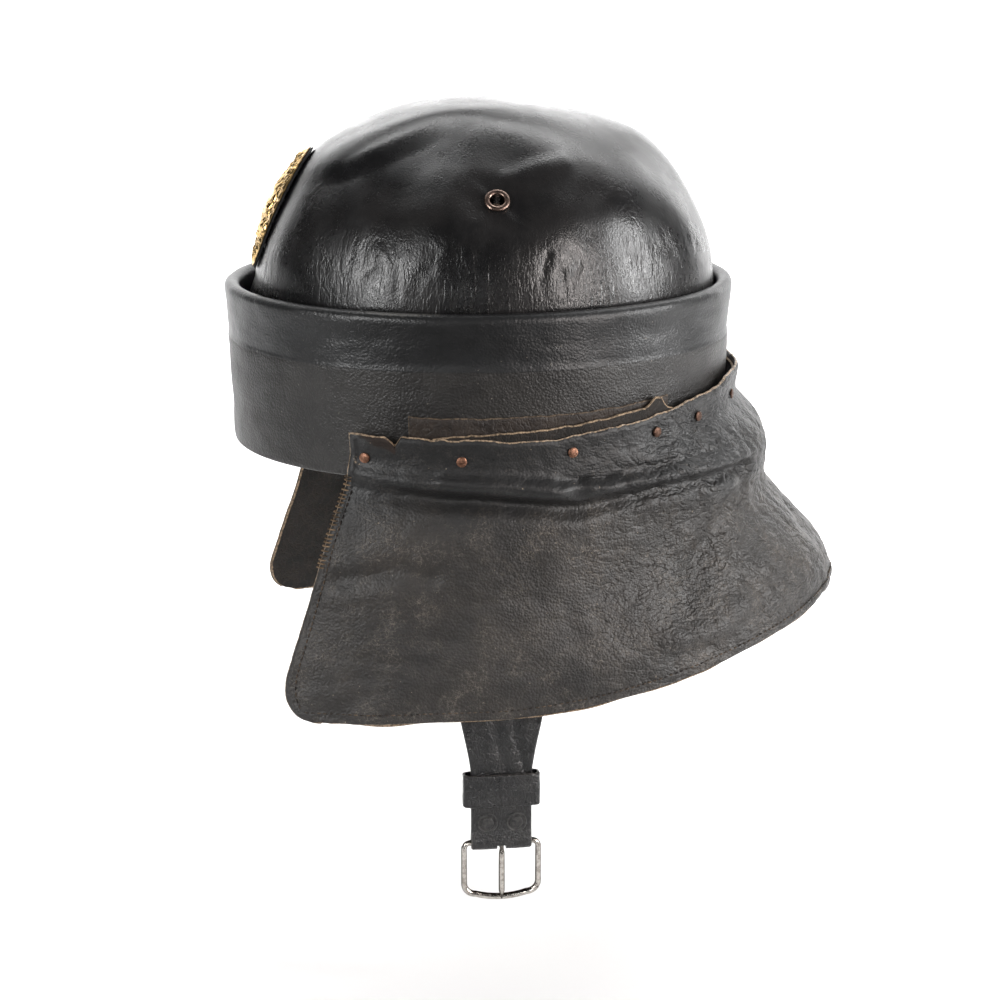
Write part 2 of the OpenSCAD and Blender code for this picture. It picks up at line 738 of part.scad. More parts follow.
module strap_tab_left() { strap_tab(-1); }
module strap_tab_right() { strap_tab(1); }

// Half width of a strap at height z, drawn in between two heights
function strap_half(z, top_w, end_w, from, to) = mix(top_w, end_w, smooth((from - z) / (from - to))) / 2;

// Strap outline in x and z, with its narrowing between from and to
function strap_edge(top_w, end_w, top, from, to, foot) =
    concat([top], [for (i = [0:8]) mix(from, to, i / 8)], [foot]);

module strap_panel(top_w, end_w, top, from, to, foot) {
    zs = strap_edge(top_w, end_w, top, from, to, foot);
    right = [for (z = zs) [strap_half(z, top_w, end_w, from, to), z]];
    left = [for (i = [len(zs) - 1:-1:0]) [-strap_half(zs[i], top_w, end_w, from, to), zs[i]]];
    rotate([90, 0, 0]) translate([0, 0, -strap_t / 2])
        linear_extrude(strap_t) polygon(concat(right, left));
}

// Bend of a strap's top end: a round edge on the hinge line
module strap_bend(w) {
    translate([-w / 2, 0, hinge_z]) rotate([0, 90, 0]) cylinder(d = strap_t, h = w);
}

module fold_rivet_places() {
    for (x = [-7.5, 7.5]) translate([x, 0, fold_rivet_z]) children();
}

// Left strap: wide panel that narrows, folds round the buckle's bar and comes back up
module strap_left() {
    return_top = keeper_top - keeper_h + 6;
    color([0.13, 0.13, 0.13]) translate([strap_x, -strap_y, 0]) difference() {
        union() {
            strap_bend(strap_top_w);
            strap_panel(strap_top_w, strap_end_w, hinge_z,
                bar_z + left_narrow_from, bar_z + left_narrow_to, bar_z);
            translate([-strap_end_w / 2, strap_t / 2 + 0.2, bar_z])
                cube([strap_end_w, strap_t, return_top - bar_z]);
            translate([-strap_end_w / 2, eye_y, bar_z]) rotate([0, 90, 0])
                cylinder(r = eye_r, h = strap_end_w);
        }
        translate([-strap_end_w, eye_y, bar_z]) rotate([0, 90, 0])
            cylinder(d = buckle_wire + 2 * pin_gap, h = 2 * strap_end_w);
        translate([-prong_wire / 2 - 1.2, -eye_r, bar_z - eye_r - 1])
            cube([prong_wire + 2.4, 4 * eye_r, 2 * eye_r + 2]);
        fold_rivet_places() translate([0, -strap_t, 0]) rotate([-90, 0, 0])
            cylinder(r = 1.3 + hole_gap, h = 5 * strap_t);
    }
}

// Pressed rivets: low ringed cap in front, shank, and plain cap behind
module strap_left_rivets() {
    front = -strap_t / 2 - 0.05;
    back = 3 * strap_t / 2 + 0.25;
    r = press_rivet_d / 2;
    color([0.12, 0.12, 0.12]) translate([strap_x, -strap_y, 0]) fold_rivet_places() {
        translate([0, front, 0]) rotate([90, 0, 0]) rotate_extrude()
            polygon([[0, 0], [r, 0], [r, 0.5], [r - 0.4, 1], [r - 1, 1], [r - 1.5, 0.6], [0, 0.7]]);
        translate([0, front, 0]) rotate([-90, 0, 0]) cylinder(r = 1.3, h = back - front);
        translate([0, back, 0]) rotate([-90, 0, 0]) domed_head(r - 0.6, 0.8);
    }
}

// Block with rounded upright corners, centred on x and y
module rounded_block(w, d, r, h) {
    for (x = [-1, 1], y = [-1, 1]) translate([x * (w / 2 - r), y * (d / 2 - r), 0]) cylinder(r = r, h = h);
    translate([-w / 2, -d / 2 + r, 0]) cube([w, d - 2 * r, h]);
    translate([-w / 2 + r, -d / 2, 0]) cube([w - 2 * r, d, h]);
}

keeper_in_w = strap_end_w + 5.9;
keeper_in_d = 2 * strap_t + 0.2 + 2 * 0.35;

module strap_keeper() {
    color([0.12, 0.12, 0.12]) translate([strap_x, -strap_y + eye_y, keeper_top - keeper_h]) difference() {
        rounded_block(keeper_in_w + 2 * keeper_t, keeper_in_d + 2 * keeper_t, keeper_t + 0.8, keeper_h);
        translate([0, 0, -1]) rounded_block(keeper_in_w, keeper_in_d, 0.8, keeper_h + 2);
    }
}

// Buckle: bar, corners, sides and foot, all one wire
module wire(from, to, d) {
    v = to - from;
    translate(from) along(unit(v)) cylinder(d = d, h = norm(v));
}

// Quarter bend of wire in the x-z plane about a centre, from angle a0
module wire_bend(centre, r, a0, d) {
    translate([centre[0], 0, centre[1]]) rotate([90, 0, 0]) rotate([0, 0, a0])
        rotate_extrude(angle = 90) translate([r, 0]) circle(d = d);
}

module buckle_frame() {
    w = (buckle_w - buckle_wire) / 2;
    foot = -buckle_h + buckle_wire;
    top_r = 3.2;
    low_r = 6;
    color([0.72, 0.72, 0.7]) translate([strap_x, -strap_y + eye_y, bar_z]) {
        wire([-w + top_r, 0, 0], [w - top_r, 0, 0], buckle_wire);
        wire([-w + low_r, 0, foot], [w - low_r, 0, foot], buckle_wire);
        for (s = [-1, 1]) {
            wire([s * w, 0, foot + low_r], [s * w, 0, -top_r], buckle_wire);
            wire_bend([s * (w - top_r), -top_r], top_r, s > 0 ? 0 : 90, buckle_wire);
            wire_bend([s * (w - low_r), foot + low_r], low_r, s > 0 ? 270 : 180, buckle_wire);
        }
    }
}

// Prong: hook round the bar and a tapered rod that rests on the frame's foot
module buckle_prong() {
    hook_r = buckle_wire / 2 + pin_gap + prong_wire / 2;
    reach = buckle_h - buckle_wire / 2 + 0.6;
    tip = 2;
    color([0.68, 0.68, 0.66]) translate([strap_x, -strap_y + eye_y, bar_z]) rotate([0, 90, 0]) {
        rotate_extrude(angle = 270) translate([hook_r, 0]) circle(d = prong_wire);
        translate([0, -hook_r, 0]) rotate([0, 90, 0]) {
            cylinder(d = prong_wire, h = reach - tip);
            translate([0, 0, reach - tip]) cylinder(d1 = prong_wire, d2 = prong_wire * 0.6, h = tip);
        }
    }
}

// Right strap: narrows to a tongue with punched holes and a rounded tip
module strap_right() {
    tip_r = right_end_w / 2;
    pitch = 14;
    color([0.13, 0.13, 0.13]) translate([strap_x, strap_y, 0]) difference() {
        union() {
            strap_bend(strap_top_w);
            strap_panel(strap_top_w, right_end_w, hinge_z,
                -right_drop + right_narrow_from, -right_drop + right_narrow_to, -right_drop + tip_r);
            translate([0, 0, -right_drop + tip_r]) rotate([90, 0, 0])
                cylinder(r = tip_r, h = strap_t, center = true);
        }
        for (k = [0:strap_holes - 1]) translate([0, 0, -right_drop + tip_r + 3 + k * pitch])
            rotate([90, 0, 0]) cylinder(d = strap_hole_d, h = 3 * strap_t, center = true);
    }
}

crown_shell();
crown_lining();
band_cover();
band_filler();
vent_eyelet_left();
vent_eyelet_right();
vent_washer_left();
vent_washer_right();
badge_plate();
badge_backing();
badge_posts();
badge_nuts();
sweatband();
sweatband_pad();
cradle_tongues();
cradle_lace();
neck_flap();
neck_flap_lining();
facing_strip_left();
facing_strip_right();
flap_rivets();
flap_burrs();
strap_tab_left();
strap_tab_right();
strap_left();
strap_left_rivets();
strap_keeper();
buckle_frame();
buckle_prong();
strap_right();
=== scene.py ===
"""Leather helmet: moulded crown, padded band, riveted neck flap, laced cradle and chin straps.

Lengths in the formulas are millimetres, as in the CAD source; meshes are stored in metres.
Angle t runs round the helmet: 0 at the back (+X), 180 at the front, -90 on the wearer's left.
Depth d is measured inwards from the band's outer face, so a negative depth is outside it.
"""

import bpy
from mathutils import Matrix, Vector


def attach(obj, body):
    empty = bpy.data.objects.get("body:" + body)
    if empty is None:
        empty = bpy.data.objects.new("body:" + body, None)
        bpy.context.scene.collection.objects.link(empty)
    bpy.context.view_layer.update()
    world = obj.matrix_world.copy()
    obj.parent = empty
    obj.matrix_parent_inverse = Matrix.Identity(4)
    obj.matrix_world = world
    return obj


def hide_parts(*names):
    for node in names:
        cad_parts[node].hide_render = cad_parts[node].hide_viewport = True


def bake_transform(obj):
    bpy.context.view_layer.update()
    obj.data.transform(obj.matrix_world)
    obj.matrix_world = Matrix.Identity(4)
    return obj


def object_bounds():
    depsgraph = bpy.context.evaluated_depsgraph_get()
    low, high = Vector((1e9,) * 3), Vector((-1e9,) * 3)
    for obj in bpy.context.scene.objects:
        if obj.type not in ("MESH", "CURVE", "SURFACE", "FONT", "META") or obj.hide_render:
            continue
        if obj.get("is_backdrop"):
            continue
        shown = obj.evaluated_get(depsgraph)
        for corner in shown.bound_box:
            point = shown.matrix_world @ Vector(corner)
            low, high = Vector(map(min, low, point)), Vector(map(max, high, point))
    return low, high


bl_info = {
    "name": "Leather helmet",
    "version": (1, 0, 0),
    "blender": (4, 5, 0),
    "location": "3D View > Sidebar > Helmet",
    "description": "Builds the leather, metal and stitching of a vintage leather helmet",
    "category": "Add Mesh",
}

import math

import bpy
import numpy as np
from mathutils import Vector

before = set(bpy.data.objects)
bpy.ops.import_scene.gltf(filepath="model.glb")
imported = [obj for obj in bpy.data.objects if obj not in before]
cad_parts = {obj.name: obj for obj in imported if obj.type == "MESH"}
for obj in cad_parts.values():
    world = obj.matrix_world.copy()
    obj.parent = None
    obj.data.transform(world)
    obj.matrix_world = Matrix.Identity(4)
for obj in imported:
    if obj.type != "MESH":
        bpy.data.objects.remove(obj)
CAD_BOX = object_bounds()

# Sizes of the CAD source, mm

BAND_H, RIM_A, RIM_B = 83.0, 132.0, 113.0
FOOT_A, FOOT_B = 128.2, 109.2
BAND_T, CROWN_D, CROWN_T, LINING_T, LAYER_GAP = 8.0, 8.3, 3.0, 1.2, 0.3
DOME_H, SQUARE_L, SQUARE_W = 92.0, 2.0, 2.25
GAP_FRONT, GAP_REAR, GAP_SIDE = 5.4, 0.9, 1.2
CROWN_A = RIM_A - BAND_T - (GAP_FRONT + GAP_REAR) / 2
CROWN_B = RIM_B - BAND_T - GAP_SIDE
SET_BACK = (GAP_FRONT - GAP_REAR) / 2
HOLLOWS = [(-28, -62, 158, 34, 7), (8, -70, 150, 26, 4), (0, -92, 135, 22, 3),
           (-60, -40, 150, 22, -2), (20, 60, 160, 36, 3), (30, 0, 174, 32, 2), (82, 0, 150, 30, -3.2),
           (122, 0, 110, 32, 3.5), (-84, -10, 150, 22, -2.2), (-118, 0, 108, 34, 4.5)]
VENT_Z, VENT_T = 137.0, 92.0
FLAP_D, FLAP_OUT_D, FLAP_LINING_D = -3.3, -5.5, -2.0
SEAM_V = 0.2
HEM_REAR, HEM_FRONT, HEM_W, WRAP = 192.0, 116.0, 252.0, 124.0
FLAP_LONG, FLAP_DROP, FLAP_HALF, CORNER_R = 150.0, 120.0, 270.0, 22.0
EDGE_DEGREE, HEM_DEGREE = 2.25, 3.2
RIVET_T = np.array([0, 21, 41, 55, 76, 99.5, 120.5, -21, -41, -55, -76, -99.5, -120.5])
STRAP_Y, STRAP_X, HINGE_Z, BAR_Z = 96.1, -0.5, -3.7, -195.0
EYE_Y, STRAP_T = 1.3, 2.4
BAR_Y = -(STRAP_Y - EYE_Y)


# Number helpers

def mix(a, b, u):
    """Straight mix: a where u is 0, b where u is 1."""
    return a + (b - a) * u


def smooth(u):
    """Smooth step of u held between 0 and 1."""
    c = np.clip(u, 0, 1)
    return c * c * (3 - 2 * c)


def bell(v, at, wide):
    """Bell curve of height 1 at `at`."""
    return np.exp(-((v - at) / wide) ** 2)


def sind(t):
    """Sine of an angle in degrees."""
    return np.sin(np.radians(t))


def cosd(t):
    """Cosine of an angle in degrees."""
    return np.cos(np.radians(t))


def xyz(x, y, z):
    """Points from arrays of their three coordinates, spread to one shape."""
    return np.stack(np.broadcast_arrays(x, y, z), -1)


def unit(v):
    """Vectors divided by their lengths."""
    return v / np.linalg.norm(v, axis=-1, keepdims=True)


def upright(x, low, high, n):
    """Points of a line at one x between two heights."""
    return np.stack([np.full(n, x), np.linspace(low, high, n)], 1)


def run_length(points):
    """Length along a line of points, from 0 at its first."""
    return np.concatenate([[0], np.cumsum(np.linalg.norm(np.diff(points, axis=0), axis=1))])


def round_angles(n):
    """A column of n even angles round the helmet."""
    return np.linspace(-180, 180, n, endpoint=False)[:, None]


def lattice(i, j, k, seed):
    """A repeatable number from -1 to 1 for each whole-number point of a lattice."""
    h = (i * 374761393 + j * 668265263 + k * 2147483647 + seed * 974634777) & 0xFFFFFFFF
    h = ((h ^ (h >> 13)) * 1274126177) & 0xFFFFFFFF
    h = h ^ (h >> 16)
    return (h & 0xFFFF) / 32767.5 - 1


def noise(p, size, seed=1):
    """Smooth noise from -1 to 1: lattice numbers `size` apart, blended in all three directions."""
    q = np.asarray(p, float) / size
    f = np.floor(q).astype(np.int64)
    w = q - f
    w = w * w * w * (w * (w * 6 - 15) + 10)
    out = 0
    for a in (0, 1):
        for b in (0, 1):
            for c in (0, 1):
                weight = (np.where(a, w[..., 0], 1 - w[..., 0]) * np.where(b, w[..., 1], 1 - w[..., 1])
                          * np.where(c, w[..., 2], 1 - w[..., 2]))
                out = out + weight * lattice(f[..., 0] + a, f[..., 1] + b, f[..., 2] + c, seed)
    return out


def layered(p, size, seed=1, layers=3):
    """Sum of noises, each half the size and half the height of the one before."""
    return sum(noise(p, size / 2 ** n, seed + n) / 2 ** n for n in range(layers))


def creases(p, size, seed=1, sharp=6.0):
    """Narrow valleys, 0 to 1, along the lines where a smooth noise passes through zero."""
    return np.exp(-sharp * np.abs(layered(p, size, seed, 2)))


# Mesh helpers

def new_object(name, points, faces, material, smooth_angle=40, attributes=None, uv=None):
    """Mesh object in metres from points in mm, with float attributes per point."""
    mesh = bpy.data.meshes.new(name)
    verts = np.asarray(points, float).reshape(-1, 3) * 0.001
    faces = [np.asarray(f, np.int64) for f in (faces if isinstance(faces, (list, tuple)) else [faces])]
    faces = [f for f in faces if len(f)]
    loops = np.concatenate([f.ravel() for f in faces])
    sizes = np.concatenate([np.full(len(f), f.shape[1]) for f in faces])
    starts = np.concatenate([[0], np.cumsum(sizes)[:-1]])
    mesh.vertices.add(len(verts))
    mesh.vertices.foreach_set("co", verts.ravel())
    mesh.loops.add(len(loops))
    mesh.loops.foreach_set("vertex_index", loops.astype(np.int32))
    mesh.polygons.add(len(sizes))
    mesh.polygons.foreach_set("loop_start", starts.astype(np.int32))
    mesh.update(calc_edges=True)
    mesh.validate()
    mesh.shade_smooth()
    if smooth_angle:
        mesh.set_sharp_from_angle(angle=math.radians(smooth_angle))
    for key, values in (attributes or {}).items():
        layer = mesh.attributes.new(key, "FLOAT", "POINT")
        layer.data.foreach_set("value", np.asarray(values, np.float32).ravel())
    if uv is not None:
        layer = mesh.uv_layers.new(name="Surface")
        layer.data.foreach_set("uv", np.asarray(uv, np.float32)[loops].ravel())
    mesh.materials.append(material)
    obj = bpy.data.objects.new(name, mesh)
    bpy.context.scene.collection.objects.link(obj)
    return obj


def walled(outer, inner, keep=None, closed=False):
    """Points and quads of a leather wall: two skins over one grid of columns and rows, each seen
    from outside, joined by walls wherever a kept cell meets a dropped one or the grid's end.
    Columns run so that, outside, the next column is to the right and rows go upwards."""
    n, m = outer.shape[:2]
    cells = n if closed else n - 1
    keep = np.ones((cells, m - 1), bool) if keep is None else keep
    i, j = np.nonzero(keep)
    k = (i + 1) % n
    half = n * m
    corner = lambda c, r: c * m + r
    a, b, c, d = corner(i, j), corner(k, j), corner(k, j + 1), corner(i, j + 1)
    quads = [np.stack([a, b, c, d], 1), np.stack([a, d, c, b], 1) + half]
    padded = np.zeros((cells + 2, m + 1), bool)
    padded[1:-1, 1:-1] = keep
    if closed:
        padded[0, 1:-1], padded[-1, 1:-1] = keep[-1], keep[0]
    for di, dj, first, second in ((-1, 0, d, a), (1, 0, b, c), (0, -1, a, b), (0, 1, c, d)):
        edge = ~padded[i + 1 + di, j + 1 + dj]
        p, q = first[edge], second[edge]
        quads.append(np.stack([p, p + half, q + half, q], 1))
    points = np.concatenate([outer.reshape(-1, 3), inner.reshape(-1, 3)])
    return points, np.concatenate(quads)


def used_only(points, faces, attributes):
    """Drops the points that no face of the list uses, so that no stray ones are left."""
    used = np.unique(np.concatenate([f.ravel() for f in faces]))
    place = np.zeros(len(points), np.int64)
    place[used] = np.arange(len(used))
    kept = {key: np.asarray(values).ravel()[used] for key, values in attributes.items()}
    return points[used], [place[f] for f in faces], kept


def grid_quads(n, m, around=True, up=True):
    """Quads of a grid of n columns of m points, closed round either way or open."""
    i, j = (g.ravel() for g in np.meshgrid(np.arange(n if around else n - 1),
                                           np.arange(m if up else m - 1), indexing="ij"))
    k, l = (i + 1) % n, (j + 1) % m
    return np.stack([i * m + j, k * m + j, k * m + l, i * m + l], 1)


def both(values):
    """One value per grid point, repeated for the inner skin."""
    return np.concatenate([np.ravel(values), np.ravel(values)])


def grid_normals(grid, closed=False):
    """Unit outward normals of a grid of points, from the differences to its neighbours."""
    if closed:
        across = np.roll(grid, -1, 0) - np.roll(grid, 1, 0)
    else:
        across = np.gradient(grid, axis=0)
    up = np.gradient(grid, axis=1)
    n = np.cross(across, up)
    return n / np.maximum(np.linalg.norm(n, axis=-1, keepdims=True), 1e-9)


def swept(path, radius, closed=False, sides=10):
    """Tube round a path: at each point a circle across the path, of that point's radius."""
    path = np.asarray(path, float)
    n = len(path)
    ahead = np.roll(path, -1, 0) - np.roll(path, 1, 0) if closed else np.gradient(path, axis=0)
    ahead = unit(ahead)
    side = np.cross(ahead, [0.03, 0.05, 1.0])
    flat = np.cross(ahead, [1.0, 0.02, 0.05])
    weight = smooth((np.abs(ahead[:, 2:3]) - 0.8) / 0.15)
    side = unit(side) * (1 - weight) + unit(flat) * weight
    side -= ahead * np.sum(side * ahead, 1, keepdims=True)
    side = unit(side)
    up = np.cross(side, ahead)
    angle = np.arange(sides) * 2 * np.pi / sides
    r = np.broadcast_to(radius, (n,))[:, None, None]
    points = path[:, None] + r * (np.cos(angle)[None, :, None] * side[:, None]
                                  + np.sin(angle)[None, :, None] * up[:, None])
    quads = grid_quads(n, sides, around=closed)
    points = points.reshape(-1, 3)
    if closed:
        return points, quads
    ends = np.arange(sides)
    points = np.concatenate([points, path[:1], path[-1:]])
    first = np.stack([np.full(sides, n * sides), ends, (ends + 1) % sides], 1)
    last = np.stack([np.full(sides, n * sides + 1), (n - 1) * sides + (ends + 1) % sides,
                     (n - 1) * sides + ends], 1)
    return points, [quads, np.concatenate([first, last])]


# Shapes shared with the CAD

def oval(t, z, d):
    """Band's oval: an ellipse that widens with height, drawn in by depth d."""
    u = z / BAND_H
    return xyz((mix(FOOT_A, RIM_A, u) - d) * cosd(t), (mix(FOOT_B, RIM_B, u) - d) * sind(t), z)


def oval_out(t):
    """Unit outward direction of the oval, level."""
    return unit(xyz(cosd(t) / RIM_A, sind(t) / RIM_B, 0))


def squash_out(s, p):
    """Reach of a superellipse of power p at share s of its height: the p-th root of 1 less s to the p."""
    return np.maximum(0, 1 - np.clip(s, 0, 1) ** p) ** (1 / p)


def hollow_at(p):
    """Summed depth of the bell-shaped hollows at each point of the smooth crown."""
    return sum(h[4] * np.exp(-np.sum((p - np.array(h[:3])) ** 2, -1) / h[3] ** 2) for h in HOLLOWS)


def crown_wall(t, z, d):
    """Crown below the rim: an ellipse that follows the band's lean."""
    u = z / BAND_H
    return xyz(SET_BACK * u + (mix(FOOT_A - CROWN_D, CROWN_A, u) - d) * cosd(t),
               (mix(FOOT_B - CROWN_D, CROWN_B, u) - d) * sind(t), z)


def crown_smooth(t, up, d):
    """Dome as a superellipse of the angle up from the rim."""
    s = sind(up)
    return xyz(SET_BACK + (CROWN_A - d) * squash_out(s, SQUARE_L) * cosd(t),
               (CROWN_B - d) * squash_out(s, SQUARE_W) * sind(t), BAND_H + (DOME_H - d) * s)


def crown_normal(p):
    """Unit direction away from the crown's middle, by the gradient of an ellipsoid."""
    return unit(np.stack([(p[..., 0] - SET_BACK) / CROWN_A ** 2, p[..., 1] / CROWN_B ** 2,
                          (p[..., 2] - BAND_H) / DOME_H ** 2], -1))


def crown_point(t, up, d):
    """Dome with its hollows pressed in along the smooth dome's normal."""
    p = crown_smooth(t, up, 0)
    return crown_smooth(t, up, d) - crown_normal(p) * hollow_at(p)[..., None]


def rivet_z(t):
    """Height of the rivet line: it rises towards the back with a power of the cosine."""
    return mix(12.0, 26.0, np.maximum(0, cosd(t)) ** 1.2)


def flap_top_z(t):
    """Height of the flap's untorn top edge, with the same kind of rise."""
    return mix(22.0, 37.0, np.maximum(0, cosd(t)) ** 2.2)


def flap_seam_z(t):
    """Height at which the flap leaves the band, just under its rivets."""
    return rivet_z(t) - 4.5


def flap_hem_z(t):
    """Height of the hem: deepest at the sides, less deep at the back."""
    return -mix(117.0, 81.0, np.maximum(0, cosd(t)) ** 1.5) + 4 * np.minimum(0, cosd(t))


def hem_point(t, d):
    """Hem: an ellipse that reaches back and forward by the stated reaches."""
    a = (HEM_REAR + HEM_FRONT) / (1 - cosd(WRAP))
    return xyz(HEM_REAR - a + (a - d) * cosd(t), (HEM_W / 2 - d) * sind(t), flap_hem_z(t))


def fold_at(t, u):
    """Main folds: three across the back, two shallow ones along the sides."""
    back = smooth((cosd(t) + 0.15) / 0.9)
    return (back * 6 * (0.55 * bell(u, 0.84, 0.12) - bell(u, 0.5, 0.15) + 0.8 * bell(u, 0.2, 0.12))
            + (1 - back) * (1.2 * bell(u, 0.3, 0.15) - 1.4 * bell(u, 0.08, 0.06)))


def flap_edge_t(u):
    """Angle of the flap's front edge, drawn in round the lower corner."""
    share = CORNER_R / FLAP_DROP
    c = np.clip((u - (1 - share)) / share, 0, 1)
    return WRAP - CORNER_R / HEM_DEGREE * (1 - np.sqrt(1 - c * c))


def flap_point(t, v, d, top):
    """Flap: the band's oval above the seam, then a straight mix to the hem plus the folds."""
    high = oval(t, mix(top, flap_seam_z(t), np.minimum(v, SEAM_V) / SEAM_V), d)
    u = np.clip((v - SEAM_V) / (1 - SEAM_V), 0, 1)
    low = mix(oval(t, flap_seam_z(t), d), hem_point(t, d - FLAP_OUT_D), u[..., None])
    return np.where((v <= SEAM_V)[..., None], high, low) + oval_out(t) * fold_at(t, u)[..., None] \
        * (v > SEAM_V)[..., None]


# Materials

class Shade:
    """A material's node tree with short calls that add a node and link what they are given."""

    def __init__(self, name):
        """Starts an empty tree that reads object coordinates."""
        self.material = bpy.data.materials.new(name)
        self.material.use_nodes = True
        self.tree = self.material.node_tree
        self.tree.nodes.clear()
        self.place = self.node("TexCoord").outputs["Object"]

    def node(self, kind, inputs=None, **settings):
        """Adds a node, sets it, and links or fixes its inputs."""
        made = self.tree.nodes.new("ShaderNode" + kind)
        for key, value in settings.items():
            setattr(made, key, value)
        for key, value in (inputs or {}).items():
            if isinstance(value, bpy.types.NodeSocket):
                self.tree.links.new(value, made.inputs[key])
            else:
                made.inputs[key].default_value = value
        return made

    def math(self, operation, a, b=0.0):
        """One arithmetic step on two values."""
        return self.node("Math", {0: a, 1: b}, operation=operation).outputs[0]

    def times(self, a, b):
        """Product of two values."""
        return self.math("MULTIPLY", a, b)

    def plus(self, a, b):
        """Sum of two values."""
        return self.math("ADD", a, b)

    def scaled(self, x, y, z, warp=None):
        """Object coordinates divided by sizes in mm, with an optional vector added."""
        out = self.node("Mapping", {"Vector": self.place,
                                    "Scale": (1000 / x, 1000 / y, 1000 / z)}).outputs[0]
        if warp is not None:
            out = self.node("VectorMath", {0: out, 1: warp}, operation="ADD").outputs[0]
        return out

    def noise(self, size, detail=3, rough=0.55, stretch=(1, 1, 1), warp=None):
        """Noise from 0 to 1 whose lumps are about `size` mm."""
        at = self.scaled(*(size * s for s in stretch), warp)
        return self.node("TexNoise",
                         {"Vector": at, "Scale": 1.0, "Detail": detail, "Roughness": rough}).outputs["Fac"]

    def wobble(self, size, amount):
        """Vector noise used to bend another pattern."""
        at = self.scaled(size, size, size)
        colour = self.node("TexNoise", {"Vector": at, "Scale": 1.0, "Detail": 2}).outputs["Color"]
        moved = self.node("VectorMath", {0: colour, 1: (0.5, 0.5, 0.5)}, operation="SUBTRACT").outputs[0]
        return self.node("VectorMath", {0: moved, "Scale": amount}, operation="SCALE").outputs[0]

    def cells(self, size, warp):
        """Distance to the middle of the nearest of many cells about `size` mm wide."""
        at = self.scaled(size, size, size, warp)
        return self.node("TexVoronoi", {"Vector": at, "Scale": 1.0}).outputs["Distance"]

    def wrinkles(self, size, stretch, warp, width=0.09):
        """Thin valleys, 0 to 1, along the lines where a warped noise passes through its middle."""
        off = self.math("ABSOLUTE", self.math("SUBTRACT", self.noise(size, 2, 0.5, stretch, warp), 0.5))
        return self.span(off, 0.0, width, 1, 0)

    def total(self, *terms):
        """Sum of values, each given with its weight."""
        out = 0.0
        for value, weight in terms:
            out = self.node("Math", {0: value, 1: weight, 2: out}, operation="MULTIPLY_ADD").outputs[0]
        return out

    def span(self, value, low, high, to_low=0.0, to_high=1.0):
        """Smooth step of a value between two ends, onto two others."""
        return self.node("MapRange", {"Value": value, 1: low, 2: high, 3: to_low, 4: to_high},
                         interpolation_type="SMOOTHSTEP").outputs[0]

    def blend(self, factor, a, b):
        """Mix of two colours."""
        a, b = (c if isinstance(c, bpy.types.NodeSocket) else (*c[:3], 1) for c in (a, b))
        return self.node("Mix", {0: factor, 6: a, 7: b}, data_type="RGBA").outputs[2]

    def coordinate(self, axis="Z"):
        """One object coordinate in mm."""
        parts = self.node("SeparateXYZ", {0: self.place})
        return self.math("MULTIPLY", parts.outputs[axis], 1000.0)

    def attribute(self, name):
        """Value that a mesh carries at each point."""
        return self.node("Attribute", attribute_name=name).outputs["Fac"]

    def bump(self, height, depth, strength=1.0):
        """Normal bent by a height of `depth` mm."""
        return self.node("Bump", {"Height": height, "Distance": depth * 0.001,
                                  "Strength": strength}).outputs[0]

    def finish(self, colour, roughness, normal, **fixed):
        """Principled shader; `fixed` values stay on its own sockets."""
        names = {"coat": "Coat Weight", "coat_rough": "Coat Roughness", "metal": "Metallic",
                 "sheen": "Sheen Weight", "sheen_rough": "Sheen Roughness",
                 "specular": "Specular IOR Level",
                 "tint": "Specular Tint"}
        shader = self.node("BsdfPrincipled",
                           {"Base Color": colour, "Roughness": roughness, "Normal": normal})
        for key, value in fixed.items():
            shader.inputs[names[key]].default_value = value
        if "coat" in fixed:
            self.tree.links.new(normal, shader.inputs["Coat Normal"])
        output = self.node("OutputMaterial", {"Surface": shader.outputs[0]})
        output.is_active_output = True
        return self.material


def crown_leather(look):
    """Polished black leather: fine upright wrinkles low on the wall, faint slanting ones above."""
    s = Shade("Crown leather")
    low = s.span(s.coordinate(), 96, 136, 1, 0)
    bend = s.wobble(16, 1.1)
    patches = s.span(s.noise(24, 3), 0.4, 0.62)
    upright = s.times(s.wrinkles(4.2, (1, 1, 5.5), s.wobble(22, 0.8), 0.09), s.times(low, patches))
    fine = s.times(s.wrinkles(1.5, (1, 1, 2.6), bend, 0.12), s.span(low, 0, 1, 0.25, 0.9))
    slant = s.times(s.wrinkles(7, (1, 1, 1.8), s.wobble(14, 1.6), 0.05), s.span(s.noise(30, 3), 0.5, 0.66))
    lumps = s.noise(8, 4, 0.6)
    relief = s.total((upright, -0.32), (fine, -0.12), (slant, -0.16), (s.noise(0.9, 2, 0.5), 0.3),
                     (lumps, 0.2))
    normal = s.bump(relief, 0.36, strength=0.9)
    wear = s.attribute("wear")
    scuff = s.span(s.noise(1.6, 4, 0.65, (5, 5, 1), s.wobble(30, 6)), 0.7, 0.8)
    colour = s.blend(s.span(s.noise(34, 5, 0.6), 0.35, 0.7), look.crown_deep, look.crown_pale)
    colour = s.blend(s.times(scuff, 0.3), colour, (0.1, 0.095, 0.09))
    colour = s.blend(s.times(upright, 0.12), colour, (0.06, 0.056, 0.052))
    rubbed = s.span(s.total((wear, 1), (s.noise(3, 4), 0.7)), 1.05, 1.3)
    colour = s.blend(rubbed, colour, (0.28, 0.23, 0.18))
    rough = s.total((s.span(s.noise(18, 4), 0.3, 0.7, 0.23, 0.32), 1), (scuff, 0.2), (fine, 0.06))
    return s.finish(colour, rough, normal, coat=0.15, coat_rough=0.14, specular=0.55)


